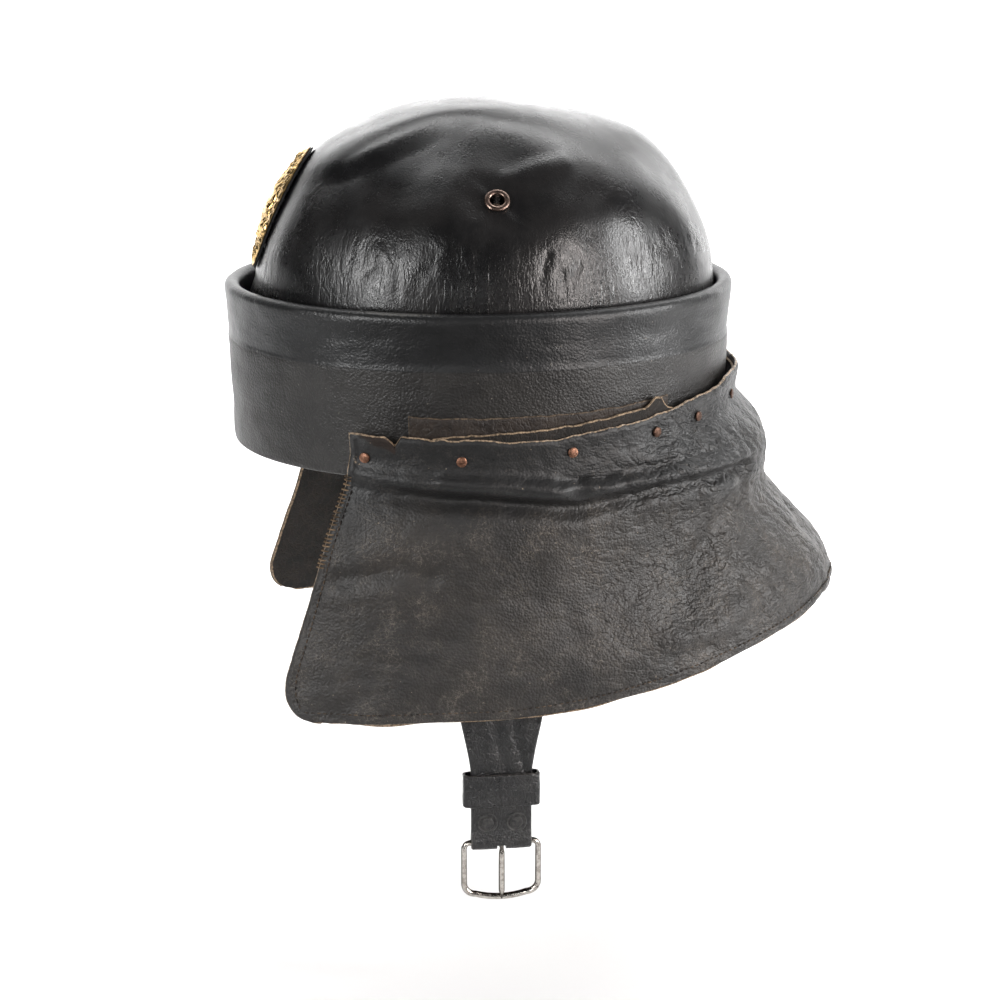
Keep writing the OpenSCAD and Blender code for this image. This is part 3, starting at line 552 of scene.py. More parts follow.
def band_leather(look):
    """Black pebbled leather, smoother and darker above the pressed line, browner below it."""
    s = Shade("Band leather")
    upper = s.span(s.total((s.coordinate(), 1), (s.noise(14, 2), 1.2)), 55.0, 55.9)
    bend = s.wobble(9, 0.9)
    pebble = s.cells(1.25, bend)
    gutter = s.wrinkles(4.5, (1.4, 1.4, 0.8), bend, 0.05)
    wide = s.noise(20, 3, 0.5, (3.2, 3.2, 0.8))
    grain = s.times(s.total((pebble, -1.0), (gutter, -0.25)), s.span(upper, 0, 1, 1.0, 0.5))
    normal = s.bump(s.total((grain, 1), (wide, 2.6), (s.noise(6, 2), 0.2)), 0.26)
    wear = s.attribute("wear")
    below = s.blend(s.span(s.noise(30, 5), 0.35, 0.68), look.band_low, look.band_low_pale)
    above = s.blend(s.span(s.noise(26, 5, 0.6, (3, 3, 1)), 0.35, 0.7), look.band_high, look.band_high_pale)
    colour = s.blend(upper, below, above)
    tips = s.span(s.total((pebble, -1), (s.noise(9, 4), 1.3)), 0.55, 0.8)
    colour = s.blend(s.times(tips, 0.16), colour, (0.16, 0.15, 0.14))
    specks = s.span(s.noise(1.6, 2, 0.5), 0.73, 0.77)
    colour = s.blend(s.times(specks, 0.5), colour, (0.3, 0.27, 0.23))
    rubbed = s.span(s.total((wear, 1), (s.noise(2.4, 5, 0.62), 0.8)), 0.95, 1.15)
    colour = s.blend(s.times(rubbed, 0.55), colour, (0.12, 0.115, 0.105))
    chipped = s.span(s.total((wear, 1), (s.noise(4.0, 5, 0.7), 1.0)), 1.46, 1.5)
    colour = s.blend(chipped, colour, look.raw_edge)
    rough = s.total((s.span(upper, 0, 1, 0.42, 0.33), 1), (s.noise(11, 4), 0.14))
    return s.finish(colour, rough, normal, coat=0.08, coat_rough=0.25, specular=0.5)


def flap_leather(look):
    """Soft old leather: black near the rivets, grey-brown below, crinkled, with thin pale cracks."""
    s = Shade("Flap leather")
    fade, wear, curl, crumple = (s.attribute(name) for name in ("fade", "wear", "curl", "crumple"))
    bend = s.wobble(9, 1.2)
    crinkle = s.wrinkles(9, (1.5, 1.5, 0.7), s.wobble(16, 1.0), 0.1)
    small = s.wrinkles(4.2, (1.4, 1.4, 0.8), bend, 0.1)
    pebble = s.cells(1.3, bend)
    soft = s.noise(7, 3, 0.55)
    rough_skin = s.times(s.total((crinkle, -1.2), (small, -0.55), (s.noise(15, 3), 1.6)), crumple)
    grain = s.times(pebble, s.span(fade, 0, 1, -0.4, -0.75))
    normal = s.bump(s.total((rough_skin, 1), (grain, 1), (soft, s.span(fade, 0, 1, 0.5, 0.9))), 0.36)
    faded = s.blend(s.span(s.noise(36, 6, 0.62), 0.34, 0.68), look.flap_low, look.flap_low_pale)
    colour = s.blend(fade, look.flap_high, faded)
    net = s.math("MAXIMUM", s.wrinkles(4.4, (1.3, 1.3, 0.8), s.wobble(5, 1.2), 0.022),
                 s.wrinkles(2.9, (0.8, 0.8, 1.2), s.wobble(3, 1.0), 0.022))
    lines = s.times(net, s.span(s.noise(18, 6, 0.7), 0.42, 0.66))
    colour = s.blend(s.times(lines, s.span(fade, 0, 1, 0.16, 0.55)), colour, (0.17, 0.145, 0.12))
    stain = s.span(s.noise(30, 3, 0.5), 0.58, 0.72)
    colour = s.blend(s.times(stain, s.times(fade, 0.5)), colour, (0.011, 0.0105, 0.0105))
    specks = s.span(s.noise(1.5, 2, 0.5), 0.745, 0.78)
    colour = s.blend(s.times(specks, 0.6), colour, (0.4, 0.33, 0.25))
    scar = s.span(s.total((wear, 1), (s.noise(2.2, 5, 0.68), 0.9)), 0.98, 1.15)
    colour = s.blend(curl, colour,
                     s.blend(s.noise(2.5, 5, 0.7), (0.004, 0.0025, 0.002), (0.03, 0.017, 0.011)))
    colour = s.blend(s.times(scar, s.span(s.noise(1.5, 4), 0.36, 0.6, 0.25, 1)), colour, look.raw_edge)
    rough = s.total((0.42, 1), (crumple, -0.06), (s.noise(8, 4), 0.18), (curl, 0.3))
    return s.finish(colour, rough, normal, specular=0.5)


def plain_leather(name, dark, pale, raw, rough=0.55, pore=1.0, lines=3.5, depth=0.22, gloss=0.4, coat=0.0,
                  creased=0.7):
    """Leather for the smaller pieces: mottled colour, pores, a net of wrinkles and rubbed edges."""
    s = Shade(name)
    bend = s.wobble(lines * 3, 1.0)
    net = s.wrinkles(lines * 1.3, (1, 1, 1.5), bend, 0.08)
    pores = s.cells(pore * 1.3, bend)
    soft = s.noise(lines * 2.4, 4, 0.6)
    normal = s.bump(s.total((net, -creased), (pores, -0.7), (soft, 1)), depth * 1.3)
    colour = s.blend(s.span(s.noise(14, 5, 0.62), 0.34, 0.68), dark, pale)
    colour = s.blend(s.times(net, 0.04), colour, tuple(0.5 * a + 0.5 * b for a, b in zip(pale, raw)))
    rubbed = s.span(s.total((s.attribute("wear"), 1), (s.noise(2.4, 5, 0.66), 0.85)), 1.05, 1.25)
    colour = s.blend(s.times(rubbed, s.span(s.noise(1.5, 4), 0.36, 0.6, 0.3, 1)), colour, raw)
    roughness = s.plus(s.times(s.noise(7, 4), 0.3), rough - 0.15)
    return s.finish(colour, roughness, normal, specular=gloss, coat=coat, coat_rough=0.3)


def cloth(name, dark, pale, thread=0.7, depth=0.25):
    """Plain weave: two crossed sets of ribs, with uneven colour."""
    s = Shade(name)
    axes = s.node("SeparateXYZ", {0: s.scaled(thread, thread, thread)})
    ribs = [s.math("SINE", s.times(axes.outputs[a], 2 * math.pi)) for a in "XYZ"]
    weave = s.times(s.plus(ribs[0], ribs[1]), ribs[2])
    fluff = s.noise(2.2, 5, 0.7)
    normal = s.bump(s.plus(s.times(weave, 0.3), fluff), depth)
    colour = s.blend(s.span(s.plus(s.noise(16, 5), s.times(weave, 0.06)), 0.32, 0.7), dark, pale)
    return s.finish(colour, s.span(fluff, 0, 1, 0.82, 0.96), normal, sheen=0.35, sheen_rough=0.6,
                    specular=0.2)


def felt(name, dark, pale):
    """Pressed wool: tangled short fibres and a soft sheen."""
    s = Shade(name)
    fibres = s.noise(1.1, 6, 0.75, (1, 1, 1), s.wobble(3, 2.2))
    normal = s.bump(fibres, 0.5)
    colour = s.blend(s.span(s.plus(s.times(fibres, 0.5), s.times(s.noise(15, 4), 0.5)),
                            0.35, 0.65), dark, pale)
    return s.finish(colour, s.span(fibres, 0, 1, 0.85, 0.97), normal, sheen=0.5, sheen_rough=0.5,
                    specular=0.15)


def old_metal(name, bright, dull, crust, rough=(0.22, 0.5), patch=3.5, cover=0.5, metal=1.0, depth=0.08,
              edge=(1, 1, 1), back_darkening=(900, 901)):
    """Metal with dull patches and a crust; `cover` is how much of it the crust takes."""
    s = Shade(name)
    dulled = s.span(s.noise(patch, 5, 0.65), 0.34, 0.66)
    crusted = s.span(s.noise(patch * 0.6, 6, 0.7, (1, 1, 1), s.wobble(patch, 0.6)), 0.85 - cover * 0.6,
                     0.95 - cover * 0.6)
    pits = s.noise(0.5, 3, 0.6)
    normal = s.bump(s.plus(pits, s.times(crusted, 1.2)), depth)
    colour = s.blend(crusted, s.blend(dulled, bright, dull), crust)
    # Darker towards the back: between the two X values given, in mm, the colour shades into the crust
    # colour, up to 0.85; the default puts this past the helmet.
    colour = s.blend(s.span(s.coordinate("X"), *back_darkening, 0, 0.85), colour, crust)
    # Painted shade: where the `inside` attribute is set (the eyelets' inner barrels, the sides and backs of
    # the buckle wire and prong) the colour goes to near black.
    colour = s.blend(s.attribute("inside"), colour, (0.012, 0.008, 0.006))
    roughness = s.plus(s.span(dulled, 0, 1, *rough), s.times(crusted, 0.3))
    return s.finish(colour, roughness, normal, metal=metal, tint=(*edge, 1))


def gilt(name, bright, deep):
    """Gilt relief: bright on the high places, dark in the hollows that the `height` attribute gives."""
    s = Shade(name)
    high = s.attribute("height")
    grime = s.noise(2.6, 5, 0.7)
    dark = s.span(s.plus(high, s.times(grime, 0.5)), 0.2, 0.55, 1, 0)
    colour = s.blend(s.times(dark, 0.85),
                     s.blend(s.noise(5, 4), bright, tuple(c * 0.75 for c in bright)), deep)
    normal = s.bump(s.noise(0.7, 4, 0.6), 0.12)
    return s.finish(colour, s.span(dark, 0, 1, 0.24, 0.6), normal, metal=1.0)


def thread_material(name, dark, pale):
    """Waxed thread: fine twisted ribs along it."""
    s = Shade(name)
    twist = s.noise(0.5, 3, 0.6, (1, 1, 0.5))
    normal = s.bump(twist, 0.12)
    colour = s.blend(s.span(s.noise(6, 4), 0.38, 0.64), dark, pale)
    return s.finish(colour, s.span(twist, 0, 1, 0.6, 0.8), normal, specular=0.3)


def floor_material():
    """Pale studio sheet with a faint unevenness."""
    s = Shade("Studio sheet")
    tone = s.noise(600, 2, 0.4)
    colour = s.blend(tone, (0.93, 0.93, 0.93), (0.95, 0.95, 0.95))
    normal = s.bump(s.noise(3, 3), 0.02)
    return s.finish(colour, s.span(tone, 0, 1, 0.86, 0.9), normal, specular=0.1)


# Crown

CROWN_COLUMNS, CROWN_ROWS, WALL_ROWS = 400, 150, 12
PUNCH_REACH = 12.0
CREST = ((-95, -60, -42, -16, 12), (141, 154, 161, 168.5, 171))
EYELET_HOLE_R = 4.35


def line_distance(x, y, points):
    """Distance in a plane from each (x, y) to a line through the given points."""
    best = np.full(np.broadcast(x, y).shape, 1e9)
    for (px, py), (qx, qy) in zip(points[:-1], points[1:]):
        dx, dy = qx - px, qy - py
        w = np.clip(((x - px) * dx + (y - py) * dy) / (dx * dx + dy * dy), 0, 1)
        best = np.minimum(best, np.hypot(x - px - w * dx, y - py - w * dy))
    return best


def vent_place(side):
    """Point on the crown and outward direction of the vent on one side, -1 left or 1 right."""
    up = math.degrees(math.asin((VENT_Z - BAND_H) / DOME_H))
    t = side * VENT_T
    at = lambda a, b: crown_point(np.array([t + a]), np.array([up + b]), 0)[0]
    axis = np.cross(at(3, 0) - at(-3, 0), at(0, 3) - at(0, -3))
    return at(0, 0), axis / np.linalg.norm(axis)


def crown_relief(p):
    """Leather's own unevenness on top of the hollows: broad waves, folds that run up to the vents,
    puckers round them, and upright wrinkles low on the wall."""
    x, y, z = p[..., 0], p[..., 1], p[..., 2]
    fade = smooth((z - 86) / 16)
    relief = fade * (0.7 * layered(p, 50, 3, 2) + 0.12 * layered(p, 17, 7, 2))
    stretched = p * np.array([1, 1, 0.2])
    low = smooth((z - 84) / 8) * smooth((128 - z) / 26)
    relief = relief - low * 0.45 * creases(stretched, 9, 11, 5.5) * smooth(0.5 + 1.6 * noise(p, 30, 13))
    for side in (-1, 1):
        centre, axis = vent_place(side)
        away = p - centre
        r = np.sqrt(np.maximum(np.sum(away ** 2, -1) - np.sum(away * axis, -1) ** 2, 0))
        turn = np.arctan2(away[..., 2], away[..., 0])
        near = np.exp(-((r - 11) / 8) ** 2) * (np.abs(np.sum(away * axis, -1)) < 25)
        relief = relief + near * (0.16 * np.cos(5 * turn + 0.7 + 2 * side) + 0.1 * np.cos(9 * turn + 2))
    left = smooth((-y - 14) / 16)
    for line, wide, deep in (
            (((6, 142), (20, 147), (34, 150)), 4.5, -1.3),
            (((10, 133), (28, 138), (46, 137)), 8, 0.9),
            (((-14, 136), (-34, 139), (-50, 136)), 9, 1.2),
            (((20, 84), (18, 98), (22, 110)), 1.5, 0.7),
            (((27, 84), (30, 92), (28, 101)), 1.5, 0.7),
            (((35, 84), (33, 95), (37, 104)), 1.5, 0.6),
            (((-57, 92), (-55, 102), (-58, 110)), 3.2, -0.4)):
        relief = relief - left * deep * bell(line_distance(x, z, line), 0, wide) * fade
    below = np.interp(x, *CREST) - z
    sunk = 2.1 * smooth(below / 9) * (1 - smooth((below - 30) / 48)) * smooth((-20 - x) / 28)
    crest = sunk - 0.9 * bell(below, -3, 6) * smooth((12 - x) / 20)
    return relief - left * crest * smooth((x + 96) / 22)


def dome_mesh(outer, inner, top, under):
    """Faces of a dome of two skins, closed at the pole and joined round the foot."""
    n, m = outer.shape[:2]
    half = n * m
    skin = grid_quads(n, m, up=False)
    ring = np.arange(n)
    after = (ring + 1) % n
    foot = np.stack([ring * m, ring * m + half, after * m + half, after * m], 1)
    high, next_high = ring * m + m - 1, after * m + m - 1
    caps = np.concatenate([np.stack([high, next_high, np.full(n, 2 * half)], 1),
                           np.stack([next_high + half, high + half, np.full(n, 2 * half + 1)], 1)])
    points = np.concatenate([outer.reshape(-1, 3), inner.reshape(-1, 3), [top], [under]])
    return points, [skin, skin[:, [0, 3, 2, 1]] + half, foot, caps]


def punch(points, quads, centre, axis, radius):
    """Opens a round hole through both skins: drops the faces within the radius and draws the
    points left on the hole's edge on to the circle. The eyelet's flange covers the join."""
    def off(p):
        away = p - centre
        along = away @ axis
        return away - along[:, None] * axis, along
    across, along = off(points)
    r = np.linalg.norm(across, axis=1)
    near = (r < radius) & (np.abs(along) < PUNCH_REACH)
    gone = near[quads].any(1)
    left = quads[~gone]
    rim = np.intersect1d(np.unique(quads[gone]), np.unique(left))
    rim = rim[(r[rim] < 3 * radius) & (np.abs(along[rim]) < PUNCH_REACH)]
    points = points.copy()
    points[rim] -= across[rim] * (1 - radius / r[rim])[:, None]
    return points, left


def vented_dome(outer, inner, top, under, attributes):
    """Dome of two skins with a round hole at each vent, and no stray points."""
    points, (skin, back, foot, caps) = dome_mesh(outer, inner, top, under)
    quads = np.concatenate([skin, back])
    for side in (-1, 1):
        points, quads = punch(points, quads, *vent_place(side), EYELET_HOLE_R)
    return used_only(points, [np.concatenate([quads, foot]), caps], attributes)


def make_crown(look):
    """Outer skin: the wall and the dome, plus crown_relief along the normal. Inner skin: CROWN_T in."""
    t = round_angles(CROWN_COLUMNS)
    z = np.linspace(0, BAND_H, WALL_ROWS, endpoint=False)[None, :]
    up = (90 * (1 - (1 - np.linspace(0, 1, CROWN_ROWS, endpoint=False)) ** 1.12))[None, :]
    wall = crown_wall(t, z, 0)
    shell = crown_point(t, up, 0)
    outer = np.concatenate([wall, shell], 1)
    out = np.concatenate([np.broadcast_to(oval_out(t), wall.shape),
                          crown_normal(crown_smooth(t, up, 0))], 1)
    relief = crown_relief(outer)
    outer = outer + out * relief[..., None]
    inner = np.concatenate([crown_wall(t, z, CROWN_T), crown_point(t, up, CROWN_T)], 1)
    inner = inner + out * np.minimum(relief, 0.2)[..., None] * smooth((outer[..., 2:3] - 90) / 20)
    top = crown_point(np.array([0.0]), np.array([90.0]), 0)[0]
    bulge = np.clip(relief * 0.35, 0, 0.5) + 0.35 * smooth((outer[..., 2] - 160) / 14)
    wear = np.concatenate([both(bulge), [0, 0]])
    points, faces, at = vented_dome(outer, inner, top, top - [0, 0, CROWN_T], {"wear": wear})
    crown = new_object("crown_leather", points, faces, crown_leather(look), 55, at)
    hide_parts("crown_shell")
    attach(crown, "helmet")


def make_crown_lining(look):
    """Cloth that follows the crown's inside one gap in, drawn in a little along the crown's normal."""
    z = np.array([[54.0, 60, 66, 72, 77]])
    up = np.linspace(0, 88, 40)[None, :]
    t = round_angles(160)
    skins = []
    for deep in (CROWN_T + LAYER_GAP, CROWN_T + LAYER_GAP + LINING_T):
        wall = crown_wall(t, z, deep)
        dome = crown_point(t, up, deep)
        skins.append(np.concatenate([wall, dome], 1))
    sunk = np.minimum(crown_relief(skins[0] + crown_normal(skins[0]) * CROWN_T), 0)
    pull = (0.25 * layered(skins[0], 18, 21) - 0.3 + sunk)[..., None] * crown_normal(skins[0])
    skins = [s + pull for s in skins]
    top = crown_point(np.array([0.0]), np.array([90.0]), 0)[0]
    points, faces, _ = vented_dome(*skins, top - [0, 0, 3.6], top - [0, 0, 4.8], {})
    lining = new_object("crown_cloth", points, faces,
                        cloth("Lining cloth", look.cloth_dark, look.cloth_pale), 60)
    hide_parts("crown_lining")
    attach(lining, "helmet")
    ring = np.concatenate([skins[0], skins[0][:1]])
    cut_size(ring)[1]


# Band

BAND_ROWS, LIP_DROP, LIP_T = 44, 52.0, 2.0


def arc_points(cx, cy, r, start, end, steps):
    """Points of a circle's arc between two angles in degrees."""
    a = np.radians(np.linspace(start, end, steps))
    return np.stack([cx + r * np.cos(a), cy + r * np.sin(a)], 1)


def band_profile():
    """Closed outline of the band in depth and height: up the outside, over the rounded rim, down
    the turned-in lip, back up inside the felt, and down the hidden face to the turned foot."""
    r, top, lip = BAND_T / 2, BAND_H - BAND_T / 2, BAND_H - LIP_DROP
    outside = np.stack([np.zeros(BAND_ROWS), np.linspace(1.2, top, BAND_ROWS, endpoint=False)], 1)
    return np.concatenate([
        arc_points(1.2, 1.2, 1.2, 270, 180, 4)[:-1], outside, arc_points(r, top, r, 180, 0, 13),
        upright(BAND_T, top, lip, 11)[1:],
        [[BAND_T - LIP_T, lip]], upright(BAND_T - LIP_T, lip, top, 8)[1:-1],
        arc_points(r, top, r - LIP_T, 0, 180, 7),
        upright(LIP_T, top, LIP_T, 7)[1:-1],
        [[LIP_T, LIP_T], [BAND_T, LIP_T], [BAND_T, 0]]])


def band_relief(p, t):
    """Outer face: sunk above the pressed line, with broad waves and a puckered foot."""
    z = p[..., 2]
    line = 55.2 + 0.8 * np.sin(np.radians(3 * t)) + 0.5 * noise(p, 25, 31)
    outside = smooth((z + 1) / 6)
    sunk = -0.55 * smooth((z - line) / 1.4) * smooth((80 - z) / 12)
    waves = 0.42 * layered(p * np.array([1, 1, 2.2]), 40, 33) + 0.16 * layered(p, 12, 35)
    ripples = 0.22 * creases(p * np.array([0.5, 0.5, 1.6]), 16, 37, 5) * smooth((z - 52) / 8)
    dents = -0.5 * bell(z, 84, 5) * np.maximum(0, noise(p, 17, 39)) ** 2
    return outside * (sunk + waves - ripples) + dents


def make_band(look):
    """Band's outline carried round its oval, plus band_relief outwards; its rim and foot are worn."""
    profile = band_profile()
    n, m = 380, len(profile)
    t = round_angles(n)
    d, z = profile[:, 0][None, :], profile[:, 1][None, :]
    ring = oval(t, z, d)
    shown = (np.arange(m) < 3 + BAND_ROWS + 9)[None, :]
    relief = band_relief(ring, t) * shown * smooth((BAND_T - d) / 6)
    ring = ring + oval_out(t) * relief[..., None]
    quads = grid_quads(n, m)
    rim = np.exp(-((z - 84.5) / 3.2) ** 2) * (d < 6)
    worn = 0.6 + 0.5 * bell(t, -114, 9) + 0.2 * bell(t, -60, 30) + 0.1 * bell(t, 90, 40)
    foot = 0.55 * np.exp(-((z - 0.3) / 1.4) ** 2) * (d < 4)
    wear = rim * worn + foot
    material = band_leather(look)
    band = new_object("rim_band", ring, quads, material, 50, {"wear": wear + 0 * ring[..., 0]})
    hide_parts("band_cover")
    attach(band, "helmet")


def make_band_felt(look):
    """Felt inside the band: a flat closed loop carried round the band's oval."""
    low, high = 2.3, BAND_H - BAND_T / 2
    loop = np.concatenate([upright(2.4, low, high, 16),
                           upright(5.6, high, low, 16)])
    ring, quads = closed_ring(loop, 200, 0.12, 41)
    pad = new_object("band_felt", ring, quads, felt("Band felt", look.felt_dark, look.felt_pale), 60)
    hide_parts("band_filler")
    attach(pad, "helmet")


def closed_ring(loop, n, rough, seed):
    """Ring swept round the band's oval from a closed loop of [depth, height], with slight lumps."""
    t = round_angles(n)
    ring = oval(t, loop[:, 1][None, :], loop[:, 0][None, :])
    ring = ring + oval_out(t) * (rough * layered(ring, 14, seed))[..., None]
    return ring, grid_quads(n, len(loop))


TURNED_STEPS = 56


def turned(loop, centre, axis, n=TURNED_STEPS):
    """Solid of revolution: a closed loop of [radius, height], going up on its outside, turned round
    an axis from a centre."""
    axis = np.asarray(axis, float) / np.linalg.norm(axis)
    side = np.cross(axis, [0.0, 0.3, 1.0])
    side /= np.linalg.norm(side)
    a = np.linspace(0, 2 * np.pi, n, endpoint=False)[:, None, None]
    around = np.cos(a) * side + np.sin(a) * np.cross(axis, side)
    points = np.asarray(centre) + loop[None, :, :1] * around + loop[None, :, 1:] * axis
    return points.reshape(-1, 3), grid_quads(n, len(loop))


# Stitching

def merged(parts):
    """One list of points and one of face arrays from several pairs of them."""
    points, faces, start = [], [], 0
    for p, f in parts:
        p = np.asarray(p, float).reshape(-1, 3)
        points.append(p)
        faces += [np.asarray(g) + start for g in (f if isinstance(f, list) else [f])]
        start += len(p)
    return np.concatenate(points), faces


def tubes(paths, radii, outs, sides=6):
    """Many short tubes at once: `paths` is tubes by rings by 3, each ring a circle across its path."""
    count, rings = paths.shape[:2]
    ahead = np.gradient(paths, axis=1)
    ahead /= np.maximum(np.linalg.norm(ahead, axis=-1, keepdims=True), 1e-9)
    side = np.cross(ahead, outs)
    side /= np.maximum(np.linalg.norm(side, axis=-1, keepdims=True), 1e-9)
    up = np.cross(side, ahead)
    a = np.arange(sides) * 2 * np.pi / sides
    r = np.broadcast_to(radii, (count, rings))[..., None, None]
    points = paths[:, :, None] + r * (np.cos(a)[:, None] * side[:, :, None]
                                      + np.sin(a)[:, None] * up[:, :, None])
    base = (np.arange(count) * rings * sides)[:, None, None]
    j, i = np.meshgrid(np.arange(rings - 1), np.arange(sides), indexing="ij")
    k = (i + 1) % sides
    quads = np.stack([base + j * sides + i, base + (j + 1) * sides + i,
                      base + (j + 1) * sides + k, base + j * sides + k], -1).reshape(-1, 4)
    ends = np.concatenate([base[:, 0] + np.arange(sides)[None],
                           base[:, 0] + ((rings - 1) * sides + np.arange(sides)[::-1])[None]])
    return points.reshape(-1, 3), [quads, ends]


def stitch_row(points, normals, sizes):
    """Stitches along a line on a surface: each arches over the leather and dips in at both ends."""
    run = run_length(points)
    length, pitch, thick = sizes.stitch_length, sizes.stitch_length + sizes.stitch_gap, sizes.thread_d
    count = int(run[-1] // pitch)
    u = np.linspace(0, 1, 7)
    starts = (run[-1] - count * pitch) / 2 + np.arange(count) * pitch
    at = starts[:, None] + length * u[None]
    take = lambda values: np.stack([np.interp(at, run, values[:, k]) for k in range(3)], -1)
    outs = unit(take(normals))
    arch = (np.sin(np.pi * u) - 0.55) * 0.9 * thick
    shape = 0.5 * thick * (0.55 + 0.45 * np.sin(np.pi * u))
    return tubes(take(points) + outs * arch[None, :, None], shape[None], outs)


# Neck flap

TORN_TOP = np.array([(-124, 23.8), (-121.7, 24.2), (-119.9, 24), (-115.6, 23.2), (-113.5, 18.5),
                     (-112.3, 24.2), (-106, 22.8), (-98.8, 22.5), (-93.6, 22.4), (-89.5, 20.7),
                     (-85.4, 21.8), (-79, 21.3), (-70, 24.5), (-57.3, 27), (-44.7, 31.7), (-30.9, 34.2),
                     (-26.7, 37.4), (-14, 38), (0, 37)])
LINING_TOP = np.array([(-106.4, 20), (-106.2, 22.6), (-97.7, 24.9), (-87.3, 25.9), (-78.6, 27.2),
                       (-69.5, 29.4), (-59.3, 32.2), (-57.6, 32.5), (-55, 37.4), (-53.6, 36.8),
                       (-52, 31), (-47, 28)])
FOLDS = (
    (((-125, 7), (-121.4, 5.5), (-116.4, 1.6), (-107.7, 0.2), (-99.4, -0.6), (-91.3, -2), (-79.2, -5)),
     4.6, 3.6),
    (((-119, -1), (-111, -5.5), (-103, -8.4), (-91.3, -9.5), (-83.4, -11.7), (-75.5, -13.8),
      (-67.1, -11.9), (-57.7, -9.1), (-44, -8), (-30.1, -8.7)), 4.2, -5.2),
    (((-79, 0.4), (-68.2, 1.9), (-55.5, 3), (-44, 6)), 2.2, -1.9),
    (((-103, 3), (-88, 1), (-70, -3.5), (-52, -1.5), (-36, 0)), 3.2, 2.2),
    (((-72, -5), (-60, -2), (-46, -1), (-32, -2)), 4, 1.2),
    (((-31.5, -16.3), (-42.6, -32.4), (-51.3, -49.1), (-56.8, -66.2)), 6.5, -2.8),
    (((-38, -16), (-50, -34), (-59, -50)), 8, 1.6),
    (((-45.9, -72.3), (-54, -82.4), (-60.9, -84.2)), 6, 3.2),
    (((-44, -80), (-54, -91), (-63, -92)), 5, -1.6),
    (((-119, -48), (-108, -41), (-103, -45)), 5, -2),
    (((10.5, -44.5), (14.3, -54)), 5, -2.5))
ARC = 2.1


def flap_top(t):
    """Height of the flap's torn top edge: traced on the left, its like on the right."""
    at = xyz(t * ARC, 0 * t, 0 * t)
    bites = np.maximum(0, noise(at, 9, 53) - 0.5)
    other = flap_top_z(t) + smooth(t / 12) * (1.3 * noise(at, 24, 51) - 3 * bites)
    return np.where(t < 0, np.interp(t, *TORN_TOP.T), other) + 0.4 * layered(at, 3.4, 57)


def lining_top(t):
    """Height of the lining's top edge, which has come up above the flap between the side rivets."""
    at = xyz(t * ARC, 0 * t, 0 * t)
    traced = np.interp(t, *LINING_TOP.T, left=0, right=0)
    other = np.interp(t, -LINING_TOP[::-1, 0] * 0.96, LINING_TOP[::-1, 1] - 1, left=0, right=0)
    other = np.minimum(other, 33 + noise(at, 8, 55))
    return np.maximum(np.where(t < 0, traced, other) + 0.35 * layered(at, 3, 59), flap_top_z(t) - 2.5)


def rivet_gap(t, z):
    """Distance to the nearest rivet in mm."""
    return np.min([np.hypot((t - r) * ARC, z - rivet_z(r)) for r in RIVET_T], axis=0)


def flap_relief(t, u, z, deep=1.0):
    """How far the flap stands out of its smooth shape: traced folds, broad waves and creases, held
    flat at the rivets, puffed between them and lifted at the top edge."""
    a = t * ARC
    at = xyz(a, z, 0 * z)
    relief = 0
    for line, wide, high in FOLDS:
        high = high * smooth((WRAP - np.abs(t)) / 30) if high < -4 else high
        near = line_distance(a, z, [(x * ARC, y) for x, y in line])
        far = line_distance(a, z, [(5 - x * 0.96 * ARC, y * 0.94 - 2.5) for x, y in line])
        relief = relief + high * bell(near, 0, wide) + 0.85 * high * bell(far, 0, wide * 1.15)
    below = smooth(u / 0.14)
    rear = smooth((cosd(t) - 0.2) / 0.5)
    turned = np.stack([a * 0.8 + z * 0.6, (z * 0.8 - a * 0.6) * 0.34, 0 * a + 0 * z], -1)
    slanted = creases(turned, 9, 66, 5) + 0.6 * creases(turned, 4.6, 67, 5)
    relief = relief + below * (1.5 * layered(at, 46, 61) + 0.3 * layered(at, 13, 63)
                               - 0.5 * creases(at, 24, 65, 7))
    relief = relief + 3.2 * rear * bell(z, 9, 11) - 1.8 * rear * bell(z, -24, 8)
    relief = relief - (0.1 + 0.85 * rear) * slanted * smooth((22 - z) / 14) * smooth((z + 96) / 30)
    gap = rivet_gap(t, z)
    relief = relief * deep * (1 - np.exp(-(gap / 7.5) ** 2))
    relief = np.maximum(relief, mix(-9, -0.2, smooth((z + 5) / 8)))
    lift = smooth((z - rivet_z(t)) / 10) * (1 - np.exp(-(gap / 10) ** 2))
    torn = 3.0 * bell(t, -118, 2.6) * smooth((z - 17) / 6)
    return relief + 1.2 * lift + torn - 0.3 * np.exp(-(gap / 3.8) ** 2)


def flap_surface(t, v, d, top):
    """Finished flap at angle t and share v of the way from its top edge to its hem, at depth d."""
    p = flap_point(t, v, d, top)
    u = np.clip((v - SEAM_V) / (1 - SEAM_V), 0, 1)
    return p + oval_out(t) * flap_relief(t, u, p[..., 2])[..., None]


def flap_grid(columns, rows, top_rows):
    """Angles and shares of a flap sheet: finer at its edges, hem first."""
    hem = 1 - np.array([0, 0.35, 0.8, 1.4, 2.2, 3.1, 3.9, 4.5, 5.1, 6]) / FLAP_LONG
    body = np.linspace(hem[-1], SEAM_V, rows)[1:]
    v = np.concatenate([hem, body, SEAM_V * np.linspace(1, 0, top_rows)[1:] ** 0.9])[None, :]
    edge = 1 - np.array([0, 0.4, 0.9, 1.6, 2.4, 3.3, 4.2]) / FLAP_HALF
    s = np.concatenate([-edge, np.linspace(-edge[-1], edge[-1], columns)[1:-1], edge[::-1]])[:, None]
    u = np.clip((v - SEAM_V) / (1 - SEAM_V), 0, 1)
    return flap_edge_t(u) * s, v + 0 * s


